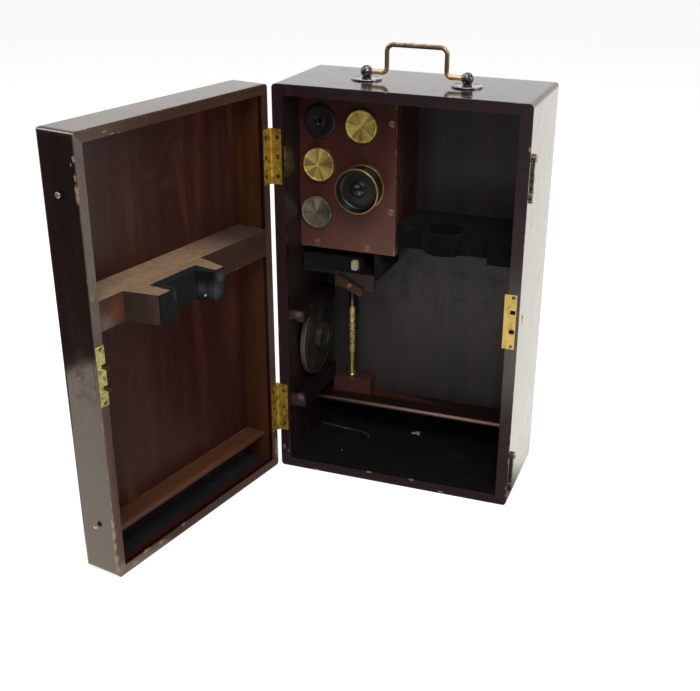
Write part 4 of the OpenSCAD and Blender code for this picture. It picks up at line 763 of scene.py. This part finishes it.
# ---------------------------------------------------------------- eyepieces
# Two eyepieces stored face out: brass tubes with black lacquered heads. The large one has a deep black
# dish round its lens and a bare brass edge; the small one is a plain black disc.
def lacquer(name, axis_place, edge_from, edge_to, worn_amount):
    """Black lacquer on brass, worn to the metal between two radii from the axis."""
    material = bpy.data.materials.new(name)
    material.use_nodes = True
    tree = material.node_tree
    shader = tree.nodes["Principled BSDF"]
    centred = put(tree, "Mapping", None, {0: put(tree, "TexCoord").outputs["Object"], "Location": tuple(-np.array(axis_place))}).outputs[0]
    radius = put(tree, "VectorMath", {"operation": "LENGTH"}, {0: stretched(tree, centred, 1, 0, 1)}).outputs["Value"]
    chips = noise(tree, centred, 420, 4, 0.7)
    shift = calc(tree, "MULTIPLY_ADD", chips, 0.0016, calc(tree, "ADD", radius, -0.0008))
    bare = calc(tree, "MULTIPLY", ramp(tree, shift, edge_from * MM, (edge_from + 0.25) * MM), worn_amount)
    bare = calc(tree, "MULTIPLY", bare, calc(tree, "SUBTRACT", 1.0, ramp(tree, shift, edge_to * MM, (edge_to + 0.4) * MM)))
    colour = blend(tree, bare, (0.0040, 0.0038, 0.0042, 1), (0.40, 0.28, 0.10, 1))
    tree.links.new(colour, shader.inputs["Base Color"])
    tree.links.new(bare, shader.inputs["Metallic"])
    tree.links.new(calc(tree, "MULTIPLY_ADD", chips, 0.22, 0.28), shader.inputs["Roughness"])
    return material


lens_glass = bpy.data.materials.new("lens_glass")
lens_glass.use_nodes = True
tree = lens_glass.node_tree
shader = tree.nodes["Principled BSDF"]
film = noise(tree, put(tree, "TexCoord").outputs["Object"], 260, 3, 0.6)
tree.links.new(blend(tree, film, (0.75, 0.80, 0.82, 1), (0.85, 0.86, 0.82, 1)), shader.inputs["Base Color"])
tree.links.new(calc(tree, "MULTIPLY_ADD", film, 0.12, 0.02), shader.inputs["Roughness"])
shader.inputs["Transmission Weight"].default_value = 1.0
shader.inputs["IOR"].default_value = 1.52

foot = spot(74, RACK_FACE, 290)
head = rounded([
    (5.5, 14.0), (6.6, 14.0), (8.0, 12.4), (16.8, 12.0), (18.3, 13.2), (19.2, 19.6), (19.7, 20.0), (20.9, 20.0),
    (21.5, 19.4), (21.5, 17.4), (18.5, 16.6), (18.5, 13.0), (18.1, 12.6), (18.1, 12.0), (18.5, 11.6), (18.5, 3.2),
    (21.1, 3.2), (21.4, 2.8), (21.4, 0.0), (15.0, 0.0), (15.0, -35.0),
    (13.8, -35.0), (13.8, 8.0), (4.5, 8.0), (4.5, 12.0), (5.5, 12.0), (5.5, 14.0)], 0.3)
points, faces = revolved(head[::-1], 144)
make_mesh("large_eyepiece_turned", stood(points, FRONT, foot), faces,
          lacquer("large_eyepiece_lacquer", foot, 20.0, 24.0, 0.95), "large_eyepiece", ["large_eyepiece"])
dome = [(0.0, 15.0), (1.5, 14.9), (3.0, 14.62), (4.4, 14.2), (5.4, 13.7), (5.4, 12.0), (0.0, 12.0)]
points, faces = revolved(dome[::-1], 64)
make_mesh("large_eyepiece_glass", stood(points, FRONT, foot), faces, lens_glass, "large_eyepiece", ["large_eyepiece_lens"])

foot = spot(32, RACK_FACE, 347.5)
head = rounded([
    (5.5, 2.9), (12.6, 3.5), (14.2, 3.5), (15.0, 2.7), (15.0, 0.0), (11.6, 0.0), (11.6, -40.0), (10.4, -40.0),
    (10.4, -2.0), (4.5, -2.0), (4.5, -1.0), (5.5, -1.0), (5.5, 2.9)], 0.3)
points, faces = revolved(head[::-1], 128)
make_mesh("small_eyepiece_turned", stood(points, FRONT, foot), faces,
          lacquer("small_eyepiece_lacquer", foot, 14.6, 30.0, 0.15), "small_eyepiece", ["small_eyepiece"])
dome = [(0.0, 1.6), (1.5, 1.55), (3.0, 1.4), (4.4, 1.15), (5.4, 0.8), (5.4, -1.0), (0.0, -1.0)]
points, faces = revolved(dome[::-1], 64)
make_mesh("small_eyepiece_glass", stood(points, FRONT, foot), faces, lens_glass, "small_eyepiece", ["small_eyepiece_lens"])


# ---------------------------------------------------------------- handle
# A bent brass wire bail whose feet turn in two ball-shaped posts, each riveted through a round rosette
# on the case's top. The wire is browned, bright at the feet.
wire_metal = metal("bail_metal", (0.56, 0.38, 0.26, 1), (0.20, 0.12, 0.085, 1), 0.6, 130, (0.30, 0.48), 0.2, 0.85)
tree = wire_metal.node_tree
height = calc(tree, "MULTIPLY_ADD", noise(tree, here(tree), 150, 3, 0.6), 0.008, put(tree, "SeparateXYZ", None, {0: here(tree)}).outputs[2])
green_legs = calc(tree, "MULTIPLY", ramp(tree, height, 0.398, 0.404), ramp(tree, height, 0.419, 0.414))
overlay(wire_metal, calc(tree, "MULTIPLY", green_legs, 0.8), (0.17, 0.14, 0.065, 1), 0.1)
overlay(wire_metal, calc(tree, "MULTIPLY", ramp(tree, height, 0.4015, 0.397), 0.85), (0.78, 0.53, 0.26, 1))
post_metal = metal("post_metal", (0.34, 0.34, 0.33, 1), (0.030, 0.028, 0.027, 1), 0.6, 420, (0.26, 0.5), 0.3)
rosette_metal = metal("rosette_metal", (0.40, 0.39, 0.385, 1), (0.16, 0.155, 0.15, 1), 0.55, 160, (0.12, 0.30), 0.08)


def tube_along(path, radius, across, around=32):
    """Carries a circle along a path that lies in the plane square to across, with domed ends."""
    ahead = np.gradient(path, axis=0)
    ahead /= np.linalg.norm(ahead, axis=1)[:, None]
    side = np.cross(across, ahead)
    angle = np.linspace(0, 2 * math.pi, around, endpoint=False)
    cap = np.linspace(0, math.pi / 2, 7)[:-1]
    radii = np.concatenate([radius * np.sin(cap), np.full(len(path), radius), radius * np.sin(cap[::-1])])
    start = path[0] - ahead[0] * (radius * 0.4 * np.cos(cap))[:, None]
    end = path[-1] + ahead[-1] * (radius * 0.4 * np.cos(cap[::-1]))[:, None]
    middle = np.vstack([start, path, end])
    side = np.vstack([np.repeat(side[:1], 6, 0), side, np.repeat(side[-1:], 6, 0)])
    radii[0] = radii[-1] = 1e-5
    ring = radii[:, None, None] * (
        np.cos(angle)[None, :, None] * side[:, None] + np.sin(angle)[None, :, None] * np.array(across)[None, None])
    points = (middle[:, None] + ring).reshape(-1, 3)
    faces = ring_faces(len(middle), around)
    faces.append(list(range(around))[::-1])
    faces.append([len(points) - around + i for i in range(around)])
    return points, faces


def bent(corner_points, radii, steps=14):
    """A path through the corners with each inner corner rounded by a true arc of its radius."""
    parts = [np.array(corner_points[0], float)[None]]
    for before, here, after, radius in zip(corner_points, corner_points[1:], corner_points[2:], radii):
        before, here, after = (np.array(p, float) for p in (before, here, after))
        lead = (before - here) / np.linalg.norm(before - here)
        tail = (after - here) / np.linalg.norm(after - here)
        half_angle = math.acos(float(lead @ tail)) / 2
        reach = radius / math.tan(half_angle)
        centre = here + (lead + tail) / np.linalg.norm(lead + tail) * radius / math.sin(half_angle)
        a, b = here + lead * reach - centre, here + tail * reach - centre
        sweep = math.acos(float(a @ b) / radius ** 2)
        t = np.linspace(0, 1, steps)[:, None]
        parts.append(centre + (np.sin((1 - t) * sweep) * a + np.sin(t * sweep) * b) / math.sin(sweep))
    parts.append(np.array(corner_points[-1], float)[None])
    return np.vstack(parts)


bail_path = bent(
    [spot(67.2, 52, 392), spot(90.2, 52, 392), spot(90.2, 52, 416.7), spot(145.8, 52, 416.7), spot(145.8, 52, 392),
     spot(168.8, 52, 392)], [4.5 * MM, 6 * MM, 6 * MM, 4.5 * MM])
points, faces = tube_along(bail_path, 2.1 * MM, (0.0, 1.0, 0.0))
make_mesh("bail_wire", points, faces, wire_metal, "handle", ["handle_bail"])
ball = np.linspace(math.radians(-52), math.pi / 2, 22)
for name, x in (("left", 71.15), ("right", 164.85)):
    foot = spot(x, 52, 385)
    profile = [(2.5, -8.0), (2.5, 1.0), (4.4, 1.0), (4.4, 2.0), (4.0, 2.4)]
    profile = [(0.0, -8.0)] + profile + list(zip(5.5 * np.cos(ball), 7 + 5.5 * np.sin(ball)))
    profile[-1] = (0.0, 12.5)
    points, faces = revolved(profile, 64)
    make_mesh("post_" + name, stood(points, UP, foot), faces, post_metal, "case", ["handle_posts"])
    profile = rounded([(2.6, 0.0), (14.0, 0.0), (14.0, 1.2), (13.4, 1.7), (12.6, 1.5), (12.0, 1.0), (2.6, 1.0), (2.6, 0.0)], 0.2)
    points, faces = revolved(profile, 96)
    make_mesh("rosette_" + name, stood(points, UP, foot), faces, rosette_metal, "case", ["handle_rosettes"])


# ---------------------------------------------------------------- hooks and studs
# Flat brass hooks, browned, that hang on round-headed screws and catch headed studs on the door.
hook_metal = metal("hook_metal", (0.32, 0.26, 0.19, 1), (0.055, 0.042, 0.032, 1), 0.55, 260, (0.30, 0.5), 0.2, 0.9)
head_metal = metal("hook_head_metal", (0.46, 0.43, 0.38, 1), (0.10, 0.085, 0.07, 1), 0.5, 400, (0.3, 0.5), 0.2, 0.8)
for node in ("upper_hook", "lower_hook"):
    dress(node, hook_metal)
dome = np.linspace(0.12, 1.0, 7)
for name, z in (("upper", 337), ("lower", 49)):
    crown = [(3.3 * math.cos(t * math.pi / 2), 2.2 + 1.7 * math.sin(t * math.pi / 2)) for t in dome]
    profile = [(0.0, -6.0), (1.45, -6.0), (1.45, 2.05), (3.0, 2.05), (3.3, 2.25)] + crown
    profile[-1] = (0.0, 3.9)
    points, faces = revolved(profile, 40)
    make_mesh("hook_pivot_" + name, stood(points, SIDE, spot(236, 13.4, z)), faces, head_metal, "case", ["hook_pivots"])
    crown = [(2.5 * math.cos(t * math.pi / 2), 2.35 + 1.25 * math.sin(t * math.pi / 2)) for t in dome]
    profile = [(0.0, -3.5), (1.15, -3.5), (1.15, 2.3), (2.3, 2.3), (2.5, 2.45)] + crown
    profile[-1] = (0.0, 3.6)
    points, faces = revolved(profile, 40)
    make_mesh("hook_stud_" + name, turned(stood(points, SIDE, spot(236, -19, z))), faces, head_metal, "door", ["hook_studs"])


# ---------------------------------------------------------------- round plate, rod and slip box
# Loose accessories: a dark enamelled disc with a turned boss, a brass rod with a knurled grip, and a
# black cloth-covered box with a bone knob.
foot = spot(13, 61.5, 121.94)
plate_metal = metal("plate_enamel", (0.064, 0.056, 0.045, 1), (0.022, 0.020, 0.016, 1), 0.6, 70, (0.34, 0.5), 0.1, 0.3)
tree = plate_metal.node_tree
centred = put(tree, "Mapping", None, {0: here(tree), "Location": tuple(-foot)}).outputs[0]
radius = put(tree, "VectorMath", {"operation": "LENGTH"}, {0: stretched(tree, centred, 0, 1, 1)}).outputs["Value"]
# A paler brown band round the rim: bare metal where the enamel is worn, and a painted highlight.
worn_rim_and_highlight = calc(tree, "MULTIPLY_ADD", noise(tree, centred, 160, 4, 0.7), 0.0022, radius)
overlay(plate_metal, ramp(tree, worn_rim_and_highlight, 0.0398, 0.0410), (0.105, 0.082, 0.062, 1), 0.1)
profile = rounded([
    (0.0, 0.0), (38.8, 0.0), (39.8, 1.0), (39.8, 5.0), (38.8, 6.0), (36.6, 6.0), (36.0, 5.2), (33.4, 5.2), (32.8, 6.0),
    (17.0, 6.0), (14.5, 7.0), (14.5, 11.2), (13.7, 12.0), (10.4, 12.0), (9.6, 10.8), (0.0, 10.8)], 0.35)
points, faces = revolved(profile, 160)
make_mesh("round_plate_turned", stood(points, SIDE, foot), faces, plate_metal, "round_plate", ["round_plate"])

rod_metal = metal("rod_metal", (0.90, 0.74, 0.28, 1), (0.24, 0.18, 0.05, 1), 0.4, 300, (0.20, 0.42), 0.2, 0.93)
tree = rod_metal.node_tree
height = put(tree, "SeparateXYZ", None, {0: here(tree)}).outputs[2]
overlay(rod_metal, ramp(tree, height, 0.1462, 0.1474), (0.10, 0.11, 0.095, 1))
turns, teeth = 64, 16
sections = np.array([
    (55.5, 2.0), (55.9, 2.4), (67.4, 2.4), (67.5, 4.0), (67.8, 4.25), (69.3, 4.25), (69.7, 3.9), (70.1, 3.5), (70.5, 3.5), (70.9, 4.0), (72.0, 4.0), (72.4, 3.2),
    (94.0, 3.2), (94.2, 2.9)] + [(94.2 + 0.35 * i, 3.7) for i in range(1, 150)] + [
    (146.5, 2.9), (146.7, 3.2), (165.6, 3.2), (166.3, 2.6), (166.5, 2.0)])


def knurled(sections, teeth, turns, low, high, depth):
    """A rod through rings of (height, radius). Between low and high its radius is cut by two crossed sets of
    threads: depth times one less the product of two sines, each of the angle by the teeth plus or minus height."""
    angle = np.linspace(0, 2 * math.pi, turns, endpoint=False)[None]
    height, radius = sections[:, :1], sections[:, 1:]
    lead = 2 * math.pi * height / 1.9
    crossed = np.abs(np.sin((teeth * angle + lead) / 2) * np.sin((teeth * angle - lead) / 2))
    gripped = ((height > low) & (height < high)).astype(float)
    radius = radius - gripped * depth * (1 - crossed)
    points = np.stack([radius * np.cos(angle), radius * np.sin(angle), height + 0 * angle], 2).reshape(-1, 3)
    faces = ring_faces(len(sections), turns)
    faces.append(list(range(turns))[::-1])
    faces.append(list(range(len(points) - turns, len(points))))
    return points, faces


points, faces = knurled(sections, teeth, turns, 94.3, 146.4, 0.42)
make_mesh("knurled_rod_turned", stood(points, UP, spot(42, 94.25, 0)), faces, rod_metal, "knurled_rod", ["knurled_rod"], 50)
dress("slip_box", velvet("slip_box_cloth", 2.2, 2.8))
bone = bpy.data.materials.new("bone")
bone.use_nodes = True
tree = bone.node_tree
shader = tree.nodes["Principled BSDF"]
vein = noise(tree, put(tree, "TexCoord").outputs["Object"], 500, 3, 0.6)
tree.links.new(blend(tree, vein, (0.27, 0.25, 0.12, 1), (0.36, 0.35, 0.21, 1)), shader.inputs["Base Color"])
tree.links.new(calc(tree, "MULTIPLY_ADD", vein, 0.2, 0.35), shader.inputs["Roughness"])
dress("slip_box_knob", bone)


# ---------------------------------------------------------------- lifted lining edge
# The floor's velvet has come unglued behind and has turned up into a low lip, from the hinge side to
# where it bends forward.
lip = np.array([
    (11.6, 81), (20, 78.6), (30, 77.2), (42, 76.4), (54, 76), (61, 75), (66.5, 72.4), (70, 69), (71.6, 66.4), (72, 64)])
along = np.linspace(0, 1, 60)
stops = np.linspace(0, 1, len(lip))
lip = np.stack([np.interp(along, stops, lip[:, 0]), np.interp(along, stops, lip[:, 1])], 1)
lip[1:-1] = (lip[:-2] + 2 * lip[1:-1] + lip[2:]) / 4
lip[1:-1] = (lip[:-2] + 2 * lip[1:-1] + lip[2:]) / 4
height = 11.6 + 0.35 * np.sin(along * 9.0)
path = np.array([spot(x, y, z) for (x, y), z in zip(lip, height)])
points, faces = tube_along(path, 0.9 * MM, (0.0, 0.0, 1.0), 16)
# The lip's velvet is far paler than the lining's: a frayed edge, and a painted highlight along its top.
make_mesh("floor_lining_lip", points, faces, velvet("lip_velvet", 2.9, 16.0), "case")


# ---------------------------------------------------------------- scooped leaf edges
# Each case leaf has its edge scooped out to the round of the door's knuckles, so that no light comes
# through beside them. The same brass as the hinges, one scoop at each of the four knuckles.
PIN_X, PIN_Y, SCOOP, LEAF_EDGE, LEAF_T, KNUCKLE = -1.9, -0.2, 2.22, 0.6, 1.2, 50.8 / 5
depth = np.linspace(LEAF_T, 0.0, 13)
scooped = np.stack([PIN_X + np.sqrt(SCOOP ** 2 - (depth - PIN_Y) ** 2), depth], 1)
outline = np.concatenate([[(LEAF_EDGE, 0.0), (LEAF_EDGE, LEAF_T)], scooped])
count = len(outline)
points = np.concatenate([np.column_stack([outline, np.full(count, level)]) for level in (0.0, KNUCKLE)])
faces = ring_faces(2, count) + [list(range(count))[::-1], list(range(count, 2 * count))]
for name, z in (("lower_1", 41 + KNUCKLE), ("lower_2", 41 + 3 * KNUCKLE), ("upper_1", 294.4 + KNUCKLE), ("upper_2", 294.4 + 3 * KNUCKLE)):
    make_mesh("hinge_scoop_" + name, stood(points, UP, spot(0, 0, z)), faces, hinge_brass, "case")
